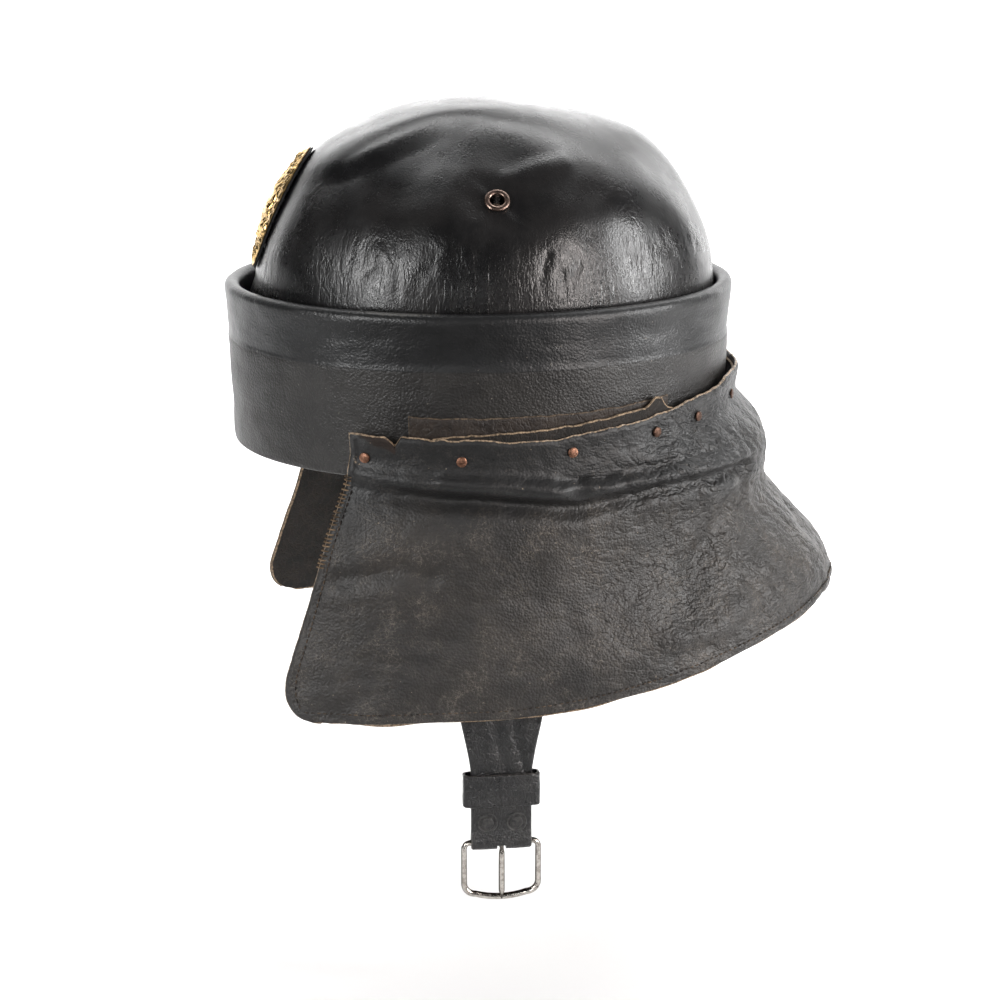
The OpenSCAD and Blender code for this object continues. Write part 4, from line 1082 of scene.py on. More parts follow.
def cut_size(skin):
    """Width and length in metres of the blank that a skin was cut from, and its area in square metres."""
    across = np.linalg.norm(np.diff(skin, axis=0), axis=-1).sum(0).max() / 1000
    along = np.linalg.norm(np.diff(skin, axis=1), axis=-1).sum(1).max() / 1000
    cells = np.cross(skin[1:, 1:] - skin[:-1, :-1], skin[:-1, 1:] - skin[1:, :-1])
    return (float(across), float(along)), float(np.linalg.norm(cells, axis=-1).sum() / 2e6)


def edge_distance(grid):
    """Distance of each grid point in mm from the hem, from the top edge and from the nearer side."""
    up = np.cumsum(np.linalg.norm(np.diff(grid, axis=1), axis=-1), axis=1)
    up = np.concatenate([0 * up[:, :1], up], 1)
    along = np.cumsum(np.linalg.norm(np.diff(grid, axis=0), axis=-1), axis=0)
    along = np.concatenate([0 * along[:1], along], 0)
    return up, up[:, -1:] - up, np.minimum(along, along[-1:] - along)


def make_flap(look, sizes):
    """Flap's two skins from flap_surface; the outer one thins to its edges and dips under the stitching."""
    t, v = flap_grid(346, 84, 17)
    top = flap_top(t)
    outer = flap_surface(t, v, FLAP_OUT_D, top)
    inner = flap_surface(t, v, FLAP_D, top)
    hem, high, front = edge_distance(outer)
    near = np.minimum(np.minimum(hem, high * 1.4), front)
    groove = np.minimum(hem, front)
    z = outer[..., 2]
    normals = grid_normals(outer)
    fine = (0.12 * layered(outer, 6, 71)
            - 0.22 * creases(outer * np.array([0.7, 0.7, 1]), 8, 73, 6) * smooth(hem / 8))
    sink = 1.35 * (1 - np.clip(near / 3.2, 0, 1)) ** 2 + 0.35 * bell(groove, sizes.hem_margin, 0.9)
    outer = outer + normals * (fine - sink)[..., None]
    gap = rivet_gap(t, z)
    scuff = 0.42 * bell(gap, 4.5, 2.2) * (z < rivet_z(t) + 1)
    curl = (smooth((8 * bell(t, -116.2, 3.4) + 1.6 * noise(outer, 3, 79) - high) / 1.2)
            * (np.abs(t + 116.9) < 4))
    wear = (np.maximum(1.1 * np.exp(-(near / 0.6) ** 2), scuff)
            + 0.7 * bell(curl, 0.4, 0.25) * (np.abs(t + 118) < 5))
    wear = wear + 0.12 * bell(groove, sizes.hem_margin, 2.5)
    fade = smooth((-5 - z + 6 * noise(outer, 22, 75)) / 22)
    fade = np.maximum(fade, 0.5 * smooth((t + 40) / 30) * smooth((30 - z) / 30))
    crumple = (np.maximum(0.85 * smooth((cosd(t) - 0.1) / 0.5), 0.1 * bell(z, 0, 12))
               * smooth(1.1 + noise(outer, 26, 83)) + 0.1)
    points, quads = walled(outer, inner)
    flap = new_object("neck_flap_leather", points, quads, flap_leather(look), 55,
                      {"wear": np.concatenate([wear.ravel(), np.full(wear.size, 0.45)]),
                       "fade": np.concatenate([fade.ravel(), np.ones(fade.size)]), "curl": both(curl),
                       "crumple": both(crumple)})
    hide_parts("neck_flap")
    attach(flap, "helmet")


def make_flap_lining(look):
    """Thinner sheet of the flap's form inside it; its top edge curls out and its hem hangs lower."""
    tl, vl = flap_grid(250, 60, 16)
    top = lining_top(tl)
    skins = [flap_surface(tl, vl, d, top) for d in (FLAP_LINING_D - 1, FLAP_LINING_D)]
    hem, high, front = edge_distance(skins[0])
    curl = 0.9 * smooth((4 - high) / 4) * (0.3 + 0.7 * noise(skins[0], 12, 77)) * (np.abs(tl) > 50)
    peek = 2.1 * smooth((4 - hem) / 4) * (0.75 + 0.5 * noise(skins[0], 20, 78))
    skins = [k + oval_out(tl) * curl[..., None] - peek[..., None] * [0, 0, 1] for k in skins]
    points, quads = walled(*skins)
    edge = 1.1 * np.exp(-(np.minimum(high, np.minimum(hem, front)) / 0.7) ** 2)
    leather = plain_leather("Lining leather", look.lining_dark, look.lining_pale, look.raw_edge, 0.7,
                            0.8, 3.0, 0.2, 0.3)
    lining = new_object("flap_lining_leather", points, quads, leather, 55, {"wear": both(edge + 0.1)})
    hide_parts("neck_flap_lining")
    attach(lining, "helmet")


def make_facings(look):
    """Two thin strips between band and lining: rows from foot to top edge, both ends cut upright."""
    leather = plain_leather("Facing leather", look.facing_dark, look.facing_pale, look.facing_raw, 0.6,
                            0.9, 3.2, 0.22)
    for side, label in ((-1, "left"), (1, "right")):
        ends = sorted((side * 111.0, side * 50.0))
        t = np.linspace(*ends, 150)[:, None]
        at = np.stack([t * ARC, 0 * t, 0 * t], -1)
        top = (33 + 3 * smooth((cosd(t) - 0.2) / 0.5) + 0.35 * layered(at, 5, 81 + side)
               + 0.7 * noise(at, 40, 83))
        v = np.concatenate([np.linspace(0, 0.92, 22), [0.95, 0.975, 0.99, 1]])[None, :]
        z = mix(4.0, top, v)
        skins = [oval(t, z, np.float64(d)) for d in (-1.7, -0.3)]
        _, high, front = edge_distance(skins[0])
        near = np.minimum(high, front)
        wave = 0.35 * smooth((14 - high) / 14) * (0.6 + noise(skins[0], 22, 85))
        sink = 0.8 * (1 - np.clip(near / 1.6, 0, 1)) ** 2
        skins[0] = skins[0] + oval_out(t) * (wave - sink)[..., None]
        skins[1] = skins[1] + oval_out(t) * wave[..., None]
        points, quads = walled(*skins)
        strip = new_object(f"facing_strip_leather_{label}", points, quads, leather, 50,
                           {"wear": both(0.9 * np.exp(-(near / 0.7) ** 2) + 0.15)})
        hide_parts(f"facing_strip_{label}")
        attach(strip, "helmet")


def flap_line(t, v):
    """Points and outward normals of the flap's outer face along a line."""
    t, v = np.broadcast_arrays(np.asarray(t, float), np.asarray(v, float))
    at = lambda a, b: flap_surface(t + a, v + b, np.float64(FLAP_OUT_D), flap_top(t + a))
    normal = np.cross(at(0.4, 0) - at(-0.4, 0), at(0, -0.004) - at(0, 0.004))
    return at(0, 0), unit(normal)


def make_flap_stitching(look, sizes):
    """Stitched line inside the hem and along both front edges."""
    margin = sizes.hem_margin
    thread = thread_material("Flap thread", look.thread_dark, look.thread_pale)
    v = 1 - margin / FLAP_LONG
    u_hem = (v - SEAM_V) / (1 - SEAM_V)
    reach = flap_edge_t(np.float64(u_hem)) - margin / EDGE_DEGREE
    parts = [stitch_row(*flap_line(np.linspace(-reach, reach, 700), v), sizes)]
    down = np.linspace(0.27, v, 240)
    u = (down - SEAM_V) / (1 - SEAM_V)
    for side in (-1, 1):
        parts.append(stitch_row(*flap_line(side * (flap_edge_t(u) - margin / EDGE_DEGREE), down), sizes))
    points, faces = merged(parts)
    row = new_object("flap_stitching", points, faces, thread, 60)
    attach(row, "helmet")


def make_oversewing(look):
    """Thick thread looped over both front edges of the flap, each loop a tube round the edge."""
    cord = thread_material("Oversewing thread", look.oversew_dark, look.oversew_pale)
    places = 0.235 + 0.0135 * np.arange(22) + 0.002 * np.sin(5 * np.arange(22))
    u = (places - SEAM_V) / (1 - SEAM_V)
    parts = []
    for side in (-1, 1):
        edge = side * flap_edge_t(u)[:, None]
        inward = np.array([2.9, 2.0, 1.0, 0.1, 0.1, 1.0, 2.2, 2.8])[None, :] / EDGE_DEGREE
        d = np.array([-5.3, -5.8, -5.8, -5.2, -2.9, -2.1, -2.1, -2.4])[None, :]
        slant = (np.array([0.006, 0.004, 0.002, 0, 0, 0.001, 0.003, 0.004])
                 * (0.6 + 0.5 * np.cos(7 * places))[:, None])
        t, v, d = np.broadcast_arrays(edge - side * inward, places[:, None] + slant, d)
        path = flap_surface(t, v, d, flap_top(t))
        tangent = oval(t + 0.5, 0 * t, 0 * t) - oval(t - 0.5, 0 * t, 0 * t)
        past = np.array([0, 0, 0, 1, 1, 0, 0, 0])[None, :, None] * 0.7
        path = path + side * past * unit(tangent)
        outs = np.broadcast_to([0.05, 0.03, 1.0], path.shape)
        parts.append(tubes(path, np.array([[0.25, 0.38, 0.42, 0.42, 0.42, 0.42, 0.38, 0.25]]), outs))
    points, faces = merged(parts)
    row = new_object("flap_oversewing", points, faces, cord, 60)
    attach(row, "helmet")


# Badge

BADGE_Z, BADGE_W, BADGE_H = 121.0, 38.0, 86.0
BADGE_T, BACKING_T, BACKING_EDGE, BOSS = 1.0, 1.0, 1.0, 3.0


def badge_point(p, q, d):
    """Crown surface p across and q up from the badge's middle, at depth d."""
    up = math.degrees(math.asin((BADGE_Z - BAND_H) / DOME_H)) + q / CROWN_A * 57.3
    b = CROWN_B * squash_out(sind(up), SQUARE_W)
    return crown_point(180 - np.degrees(np.arcsin(p / b)), up, d)


def badge_sheet(w, h, u, front, back):
    """Oval plate bent to the crown: rings from the rim inwards, `front` and `back` are depths."""
    a = np.radians(np.linspace(360, 0, front.shape[0], endpoint=False))[:, None]
    p, q = w / 2 * u * np.cos(a), h / 2 * u * np.sin(a)
    middle = [badge_point(np.array([0.0]), np.array([0.0]), d)[0] for d in (front[:, -1].mean(), back)]
    return dome_mesh(badge_point(p, q, front), badge_point(p, q, back + 0 * p), *middle)


def make_badge(look, sizes):
    """Oval plate whose height adds a border of slanted leaves, a cast unevenness and a half-ball boss."""
    n = 288
    a = np.radians(np.linspace(360, 0, n, endpoint=False))[:, None]
    u = np.concatenate([[1, 0.985, 0.965], np.linspace(0.95, 0.86, 10),
                        np.linspace(0.85, 0.02, 62)])[None, :]
    turn = sizes.leaves / 2 * a
    leaf = np.abs(np.cos(turn + 5 * u)) ** 0.7 * smooth((u - 0.6) / 0.1)
    vein = 0.35 * np.abs(np.cos(3 * turn + 15 * u))
    lump = xyz(u * np.cos(a) * BADGE_W / 2, u * np.sin(a) * BADGE_H / 2, 0 * u)
    cast = 0.8 * layered(lump, 7, 131) + 0.4 * np.abs(layered(lump, 2.6, 133))
    dome = np.sqrt(np.clip(1 - (u / 0.5) ** 2, 0, 1)) * (0.8 - 0.25 * np.sin(a) * u)
    rise = smooth((1.0 - u) / 0.12)
    height = 0.3 + 0.35 * rise + leaf * rise * (1.2 - vein) + BOSS * dome + 0.85 * cast * rise
    height = np.clip(height, 0.3, BADGE_T + BOSS)
    scallop = 1 - 0.035 * np.abs(np.sin(turn)) - 0.02 * noise(lump[:, :1], 4, 135)
    seat = -3 * LAYER_GAP - BACKING_T
    points, faces = badge_sheet(BADGE_W, BADGE_H, u * mix(1, scallop, smooth((u - 0.7) / 0.25)),
                                seat - height, seat)
    shown = np.clip((height - 0.3) / 1.0, 0, 1).ravel()
    level = np.concatenate([shown, 0 * shown, [1, 0]])
    plate = new_object("badge_relief", points, faces,
                       gilt("Badge gilt", look.gilt_bright, look.gilt_deep), 45,
                       {"height": level})
    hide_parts("badge_plate")
    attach(plate, "helmet")


def make_badge_backing(look):
    """Plain oval plate of leather behind the badge, thinned at its rim."""
    u = np.array([[1, 0.995, 0.98, 0.96, 0.9, 0.8, 0.6, 0.4, 0.2]])
    thick = BACKING_T * np.array([[0.45, 0.75, 0.93, 1, 1, 1, 1, 1, 1]])
    front = np.tile(-2 * LAYER_GAP - thick, (120, 1))
    points, faces = badge_sheet(BADGE_W + BACKING_EDGE, BADGE_H + BACKING_EDGE, u, front, -2 * LAYER_GAP)
    leather = plain_leather("Badge backing leather", look.crown_deep, look.band_high, look.facing_dark, 0.7)
    edge = np.exp(-(1 - u) / 0.02) + 0 * front
    backing = new_object("badge_backing_leather", points, faces, leather, 50,
                         {"wear": np.concatenate([both(edge * 0.5), [0, 0]])})
    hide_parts("badge_backing")
    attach(backing, "helmet")


# Inside

SWEAT_D, SWEAT_IN_D, SWEAT_TOP = 24.2, 25.8, 48.0
PAD_D, PAD_T, PAD_H = 16.4, 7.5, 44.0
TONGUE_D, TONGUE_T, CRADLE_TOP, TONGUES = 26.3, 1.2, 148.0, 8
LACE_R, LACE_D = 20.0, 2.4
ARCH_ANGLE, TONGUE_FOOT, TONGUE_TIP, LACE_HOLE_R = 82, 0.93, 0.74, 1.9


def make_sweatband(look):
    """Leather band that turns out under the crown's foot, with a slot at each strap."""
    t = round_angles(360)
    flange = np.array([8.3, 8.7, 9.6, 10.4, 11.9, 13.1, 14.3, 16, 18, 20, 22, 23.4])
    up = np.concatenate([np.linspace(0.6, 44, 34), [46, 47.2, 48]])
    outer_d = np.concatenate([flange, [SWEAT_D], np.full(len(up), SWEAT_D)])
    outer_z = np.concatenate([np.full(len(flange), -0.3), [-0.3], up])
    inner_d = np.concatenate([flange, [SWEAT_IN_D], np.full(len(up), SWEAT_IN_D)])
    inner_z = np.concatenate([np.full(len(flange), -1.9), [-1.9], up])
    outer = oval(t, outer_z[None], outer_d[None])
    inner = oval(t, inner_z[None], inner_d[None])
    wave = (0.35 * layered(inner, 17, 91) + 0.12 * layered(inner, 5, 93)
            - 0.3 * creases(inner * [0.4, 0.4, 1.5], 12, 95, 6))
    inside = smooth((inner_z[None] - 2) / 6)
    inner = inner - oval_out(t) * (np.maximum(wave + 0.2, -0.25) * inside)[..., None]
    x = STRAP_X + 0 * t
    middle = (outer[:, :-1] + np.roll(outer, -1, 0)[:, :-1]) / 2
    depth = (outer_d[:-1] + outer_d[1:])[None] / 2
    keep = ~((np.abs(middle[..., 0] - x) < 23.8) & (depth > 11.9) & (depth < 14.3))
    edge = np.exp(-np.abs(outer_z[None] - SWEAT_TOP) / 1.2) * (outer_d[None] > 20) + 0 * t
    points, quads = walled(outer, inner, keep, closed=True)
    points, quads, at = used_only(points, [quads], {"wear": both(edge * 0.8 + 0.1)})
    leather = plain_leather("Sweatband leather", look.sweat_dark, look.sweat_pale, look.raw_edge, 0.5,
                            1.0, 4, 0.25)
    band = new_object("sweatband_leather", points, quads, leather, 50, at)
    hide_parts("sweatband")
    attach(band, "helmet")


def make_sweatband_stitching(look, sizes):
    """Two rows of stitches round the oval: under the foot, and inside below the top edge."""
    turn = np.linspace(-180, 180, 1400)
    low = oval(turn, np.full(1400, -1.95), np.full(1400, 10.0))
    seam = stitch_row(low, np.tile([0, 0, -1.0], (1400, 1)), sizes)
    hem = oval(turn, np.full(1400, SWEAT_TOP - 4.0), np.full(1400, SWEAT_IN_D + 0.2))
    inner_seam = stitch_row(hem, -oval_out(turn), sizes)
    points, faces = merged([seam, inner_seam])
    row = new_object("sweatband_stitching", points, faces,
                     thread_material("Sweatband thread", look.oversew_dark, look.oversew_pale), 60)
    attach(row, "helmet")


def make_sweatband_felt(look):
    """Pad behind the sweatband: a rectangle with rounded corners carried round the oval."""
    r = 2.6
    corner = lambda d, z, start: arc_points(d, z, r, start, start - 90, 5)
    loop = np.concatenate([corner(PAD_D + r, r, 270), upright(PAD_D, 4, PAD_H - 4, 14),
                           corner(PAD_D + r, PAD_H - r, 180), corner(PAD_D + PAD_T - r, PAD_H - r, 90),
                           upright(PAD_D + PAD_T, PAD_H - 4, 4, 14),
                           corner(PAD_D + PAD_T - r, r, 0)])
    ring, quads = closed_ring(loop, 220, 0.12, 97)
    pad = new_object("sweatband_felt", ring, quads,
                     felt("Sweatband felt", look.felt_dark, look.felt_pale), 60)
    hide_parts("sweatband_pad")
    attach(pad, "helmet")


def cradle_point(t, v, d):
    """Cradle: up the sweatband below v 0, then over in an arch towards the crown's middle."""
    base = oval(t, np.full_like(t, SWEAT_TOP), d)
    s = sind(np.maximum(v, 0) * ARCH_ANGLE)
    rise = CRADLE_TOP - SWEAT_TOP - (d - TONGUE_D)
    arch = np.stack([base[..., 0] * squash_out(s, SQUARE_L), base[..., 1] * squash_out(s, SQUARE_W),
                     SWEAT_TOP + rise * s], -1)
    low = oval(t, mix(SWEAT_TOP, PAD_H - 8, -np.minimum(v, 0)), d)
    return np.where((v <= 0)[..., None], low, arch)


def open_holes(grids, keep, centres, radius):
    """Opens round holes through grids of points: drops cells near each centre, measured on the first
    grid, and draws the points on the hole's edge on to the circle."""
    grid = grids[0]
    cell = (grid[:-1, :-1] + grid[1:, :-1] + grid[1:, 1:] + grid[:-1, 1:]) / 4
    for centre in centres:
        gone = np.linalg.norm(cell - centre, axis=-1) < radius
        keep &= ~gone
        n, m = grid.shape[:2]
        near = np.pad(gone, 1)
        corners = [near[a:a + n, b:b + m] for a in (0, 1) for b in (0, 1)]
        rim = np.any(corners, 0) & ~np.all(corners, 0)
        for g in grids:
            middle = centre + (g - grid)[rim]
            away = g[rim] - middle
            g[rim] = middle + away * (radius / np.linalg.norm(away, axis=-1, keepdims=True))
    return keep


def make_cradle(look):
    """Eight tongues sewn to the sweatband, tapered, round-tipped and pierced for the lace."""
    leather = plain_leather("Cradle leather", look.sweat_dark, look.sweat_pale, look.raw_edge, 0.55, 0.9,
                            3.4, 0.2)
    v = np.concatenate([np.linspace(-1, 0, 9), np.linspace(0.015, 0.86, 46),
                        0.86 + 0.14 * np.sin(np.linspace(0.08, 1, 14) * np.pi / 2)])[None, :]
    s = np.concatenate([[-1, -0.97, -0.92], np.linspace(-0.86, 0.86, 21), [0.92, 0.97, 1]])[:, None]
    parts, wears = [], []
    step = 360 / TONGUES
    for k in range(TONGUES):
        round_tip = np.sqrt(np.clip(1 - ((v - 0.84) / 0.165).clip(0, 1) ** 2 * 0.92, 0, 1))
        half = step / 2 * mix(TONGUE_FOOT, TONGUE_TIP, np.clip(v, 0, 1)) * round_tip
        t = (k + 0.5) * step + half * s
        v_all = v + 0 * t
        grids = [cradle_point(t, v_all, d + 0 * t) for d in (TONGUE_D, TONGUE_D + TONGUE_T)]
        sag = 0.5 * layered(grids[0], 26, 101) + 0.15 * layered(grids[0], 8, 103)
        sag = (sag + 0.5) * smooth(v_all / 0.15) * smooth((1.25 - v_all) / 0.4)
        inward = -unit(grids[0])
        grids = [g + inward * sag[..., None] for g in grids]
        _, high, front = edge_distance(grids[0])
        holes = []
        for turn in (-0.5, 0.5):
            angle = (k + 0.5) * step + turn * step / 2 * TONGUE_TIP
            tip = cradle_point(*(np.array([value]) for value in (angle, lace_share(), TONGUE_D)))[0]
            nearest = grids[0].reshape(-1, 3)
            holes.append(nearest[np.argmin(np.linalg.norm(nearest - tip, axis=1))])
        keep = open_holes(grids, np.ones((len(s) - 1, v.shape[1] - 1), bool), holes, LACE_HOLE_R)
        wear = 0.8 * np.exp(-np.minimum(high, front) / 1.5) + 0.1
        points, quads = walled(*grids, keep)
        points, quads, at = used_only(points, [quads], {"wear": both(wear)})
        parts.append((points, quads))
        wears.append(at["wear"])
    points, faces = merged(parts)
    tongues = new_object("cradle_leather", points, faces, leather, 50, {"wear": np.concatenate(wears)})
    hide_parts("cradle_tongues")
    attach(tongues, "helmet")


def make_lace(look):
    """Closed ring of cord through the tongues: a circle whose height weaves over and under them."""
    angle = np.radians(np.linspace(0, 360, 640, endpoint=False))
    width = (mix(FOOT_B, RIM_B, SWEAT_TOP / BAND_H) - TONGUE_D)
    seat = mix(SWEAT_TOP, CRADLE_TOP, squash_out(np.float64(LACE_R / width), SQUARE_W))
    weave = np.tanh(2.6 * (np.cos(TONGUES * angle) + 0.4))
    lift = np.where(weave > 0, 1.6 * weave, 2.6 * weave) - 0.5
    r = LACE_R + 0.5 * np.sin(3 * angle)
    path = np.stack([r * np.cos(angle), r * np.sin(angle), seat + 0.4 + lift], 1)
    points, quads = swept(path, LACE_D / 2, closed=True, sides=10)
    lace = new_object("cradle_lace_cord", points, quads,
                      thread_material("Lace", look.lace_dark, look.lace_pale), 60)
    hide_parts("cradle_lace")
    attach(lace, "helmet")


def lace_share():
    """Share of a tongue's arch at which the lace crosses it."""
    width = mix(FOOT_B, RIM_B, SWEAT_TOP / BAND_H) - TONGUE_D
    high = squash_out(np.float64(LACE_R / width), SQUARE_W)
    return math.degrees(math.asin(min(1.0, float(high)))) / ARCH_ANGLE


# Straps and buckle

TAB_D, TAB_T, TAB_TOP = 12.2, 1.8, 30.0
STRAP_TOP_W, LEFT_END_W, RIGHT_END_W = 45.0, 31.0, 29.0
LEFT_NARROW, RIGHT_NARROW = (-112.0, -162.0), (-40.0, -90.0)
RIGHT_TIP, HOLE_D, HOLE_PITCH, HOLES_IN_STRAP = -185.0, 3.4, 14.0, 5
FOLD_TOP, KEEPER_FOOT, KEEPER_TOP = -168.5, -174.5, -157.0
PRONG_SLOT, PRONG_HOOK, PRONG_REACH = 2.3, 2.5, 30.6
SOFT_FOLD = [(3, -122), (4.5, -134), (7, -146), (10.5, -158)]
PRESSED_X, PRESSED_Z = 7.5, -183.5
FOLD_BULGE, WIRE_R, HOOK_R, PRONG_R = 1.28, 1.5, 1.1, 1.55
BACK_ROWS, FRONT_START, SLOT_SPLIT = 26, 40, 33


def strap_half(z, end_w, narrow):
    """Half the strap's width: a smooth step from its top width to its end width."""
    return mix(STRAP_TOP_W, end_w, smooth((narrow[0] - z) / (narrow[0] - narrow[1]))) / 2


def tab_span(z, side):
    """Angles between which a tab lies at height z: strap-wide at its foot, two rivets wide above."""
    half = math.degrees(math.asin(STRAP_TOP_W / 2 / (FOOT_A - CROWN_D - CROWN_T)))
    u = smooth((z - 1) / 6)
    near, far = mix(90 - half, 76 - 4.5, u), mix(90 + half, 99.5 + 4.5, u)
    return (near, far) if side > 0 else (-far, -near)


def strap_path(low, fold):
    """Centre line of a strap from its end to its bend, as outward offset and height. With a fold it
    starts at the returned end, comes down behind the bar, round under it and up in front."""
    z = np.linspace(low, HINGE_Z, int((HINGE_Z - low) / 1.15))
    if not fold:
        return np.zeros(len(z)), z
    bulge = lambda h: smooth((BAR_Z + 8 - h) / 8)
    r = EYE_Y + FOLD_BULGE
    back = np.linspace(FOLD_TOP, BAR_Z, BACK_ROWS)
    turn = np.radians(np.linspace(180, 360, 15)[1:-1])
    front = np.linspace(BAR_Z, HINGE_Z, 166)
    offset = np.concatenate([-2.6 - FOLD_BULGE * bulge(back), -EYE_Y + r * np.cos(turn),
                             FOLD_BULGE * bulge(front)])
    return offset, np.concatenate([back, BAR_Z + r * np.sin(turn), front])


def strap_skins(side, end_w, narrow, low, fold, tip_r=0.0):
    """Both skins of one strap, tab included, as grids whose rows run from the free end to the tab."""
    offset, z = strap_path(low, fold)
    s = np.array([-1, -0.975, -0.945, -0.91, *np.linspace(-0.87, -0.16, 15), -0.1484,
                  *np.linspace(-0.1, 0.1, 4), 0.1484, *np.linspace(0.16, 0.87, 15), 0.91, 0.945, 0.975,
                  1])[:, None]
    half = strap_half(z, end_w, narrow)[None, :]
    if fold:
        half = np.where(np.arange(len(z)) < FRONT_START, end_w / 2, half)
    if tip_r:
        past = np.clip(low + tip_r - z, 0, tip_r - 0.02)
        half = np.minimum(half, np.sqrt(np.clip(tip_r ** 2 - past ** 2, 0, None))[None, :])
    ahead = np.stack([np.gradient(offset), np.gradient(z)], 1)
    ahead = unit(ahead)
    out = np.stack([ahead[:, 1], -ahead[:, 0]], 1)
    x = half * s
    at = xyz(x, 0 * x + side * 40, z[None, :] + 0 * x)
    front_only = (np.arange(len(z)) > FRONT_START)[None, :]
    free = smooth((-12 - z) / 20) * smooth((z + 140) / 25) if fold else smooth((-12 - z) / 20)
    drift = free * 1.1 * noise(np.stack([0 * z, 0 * z + side * 9, z], -1), 60, 111)
    wrinkle = 0.16 * layered(at * [0.6, 1, 1], 11, 113) - 0.3 * creases(at * [0.35, 1, 1], 9, 115, 6)
    wrinkle = wrinkle * smooth((-10 - z) / 10)
    if fold:
        left = np.interp(-z, *(np.array(SOFT_FOLD).T * [[1], [-1]])[::-1])[None, :] - x
        shown = front_only * smooth((-118 - z) / 5) * smooth((z + 162) / 6)
        wrinkle = wrinkle - shown * (0.9 * bell(left, 7.5, 2.6) + 0.9 * bell(left, -2.2, 2.0))
    thick = STRAP_T / 2 * np.sqrt(np.clip(1 - ((np.abs(s) - 0.93).clip(0) / 0.075) ** 2, 0.25, 1))
    if tip_r:
        thick = thick * np.sqrt(np.clip((z - low) / 1.2, 0.3, 1))[None, :]
    cup = -0.25 * s ** 4 * free
    skins = []
    for face in (1, -1):
        rise = face * thick + (wrinkle if face > 0 else 0)
        o = offset[None, :] + drift[None, :] + cup + rise * out[None, :, 0]
        h = z[None, :] + rise * out[None, :, 1]
        skins.append(np.stack([STRAP_X + x, side * (STRAP_Y + o), h], -1))
    tab_z = np.array([-0.6, 1, 2.5, 4, 5.5, 7, 10, 14, 18, 22, 26, 29, TAB_TOP])[None, :]
    near, far = tab_span(tab_z, side)
    t = mix(near, far, (s + 1) / 2)
    tab = [oval(t, tab_z, np.float64(d)) for d in (TAB_D, TAB_D + TAB_T)]
    if side > 0:
        skins = [k[::-1] for k in skins]
    return [np.concatenate([k, g], 1) for k, g in zip(skins, tab)], np.concatenate([z, tab_z[0]])


def make_straps(look):
    """Both straps from strap_skins: the left with a slot for the prong, the right with a row of holes."""
    leather = plain_leather("Strap leather", look.strap_dark, look.strap_pale, look.strap_raw, 0.32, 0.9,
                            4.0, 0.36, 0.5, 0.05, 0.25)
    for side, label, end_w, narrow, low, fold, tip_r in (
            (-1, "left", LEFT_END_W, LEFT_NARROW, FOLD_TOP, True, 0.0),
            (1, "right", RIGHT_END_W, RIGHT_NARROW, RIGHT_TIP, False, RIGHT_END_W / 2)):
        (outer, inner), z = strap_skins(side, end_w, narrow, low, fold, tip_r)
        keep = np.ones((outer.shape[0] - 1, outer.shape[1] - 1), bool)
        if fold:
            middle = (outer[:-1, :-1] + outer[1:, 1:]) / 2
            high = np.where(np.arange(outer.shape[1] - 1) > SLOT_SPLIT, -1.2, 4.8)[None, :]
            keep &= ~((np.abs(middle[..., 0] - STRAP_X) < PRONG_SLOT) & (middle[..., 2] < BAR_Z + high))
        else:
            tip = RIGHT_TIP + tip_r + 3
            offset = np.array([[STRAP_X, 0, tip + k * HOLE_PITCH] for k in range(HOLES_IN_STRAP)])
            flat = outer.reshape(-1, 3)
            centres = []
            for c in offset:
                near = np.argmin(np.hypot(flat[:, 0] - c[0], flat[:, 2] - c[2]))
                centres.append(np.array([c[0], flat[near, 1], c[2]]))
            keep = open_holes([outer, inner], keep, centres, HOLE_D / 2)
        hem, high, front = edge_distance(outer)
        near = np.minimum(front, hem) if not fold else front
        wear = 0.75 * np.exp(-near / 1.1) + 0.25 * bell(z, BAR_Z, 3)[None, :] + 0.1
        points, quads = walled(outer, inner, keep)
        points, quads, at = used_only(points, [quads], {"wear": both(wear)})
        strap = new_object(f"chin_strap_leather_{label}", points, quads, leather, 50, at)
        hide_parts(f"strap_{label}", f"strap_tab_{label}")
        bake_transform(strap)


def make_keeper():
    """Loop round the strap: a rounded rectangle, from powers of cosine and sine, carried upwards."""
    leather = bpy.data.materials["Strap leather"]
    a = np.linspace(0, 2 * np.pi, 120, endpoint=False)[:, None]
    w, d, thick = (LEFT_END_W + 5.9) / 2, (2 * STRAP_T + 1.2) / 2, 1.5
    tall = KEEPER_TOP - KEEPER_FOOT
    z = np.concatenate([[0, 0.25, 0.7], np.linspace(1.3, tall - 1.3, 14),
                        [tall - 0.7, tall - 0.25, tall]])[None, :]
    bow = np.sign(np.cos(a)) * np.abs(np.cos(a)) ** 0.3, np.sign(np.sin(a)) * np.abs(np.sin(a)) ** 0.42
    rim = 0.55 * (1 - np.clip(np.minimum(z, tall - z) / 0.7, 0, 1)) ** 2
    ring = lambda e: xyz(STRAP_X + (w + e) * bow[0], BAR_Y + (d + e) * bow[1], KEEPER_FOOT + z + 0 * a)
    outer = ring(thick - rim)
    outer = outer + grid_normals(outer, closed=True) * (0.14 * layered(outer, 5, 121) - 0.14)[..., None]
    points, quads = walled(outer, ring(rim * 0.3), closed=True)
    wear = 0.7 * np.exp(-np.minimum(z, tall - z) / 0.8) + 0.1 + 0 * a
    keeper = new_object("keeper_leather", points, quads, leather, 50, {"wear": both(wear)})
    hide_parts("strap_keeper")
    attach(keeper, "keeper")


def painted_side_shade(points, out, radius):
    """Painted shade over the sides and back of a wire, none on its outward front, which faces the camera.
    """
    front = (BAR_Y - out - points[:, 1]) / radius
    return 0.85 * (1 - smooth((front - 0.6) / 0.25))


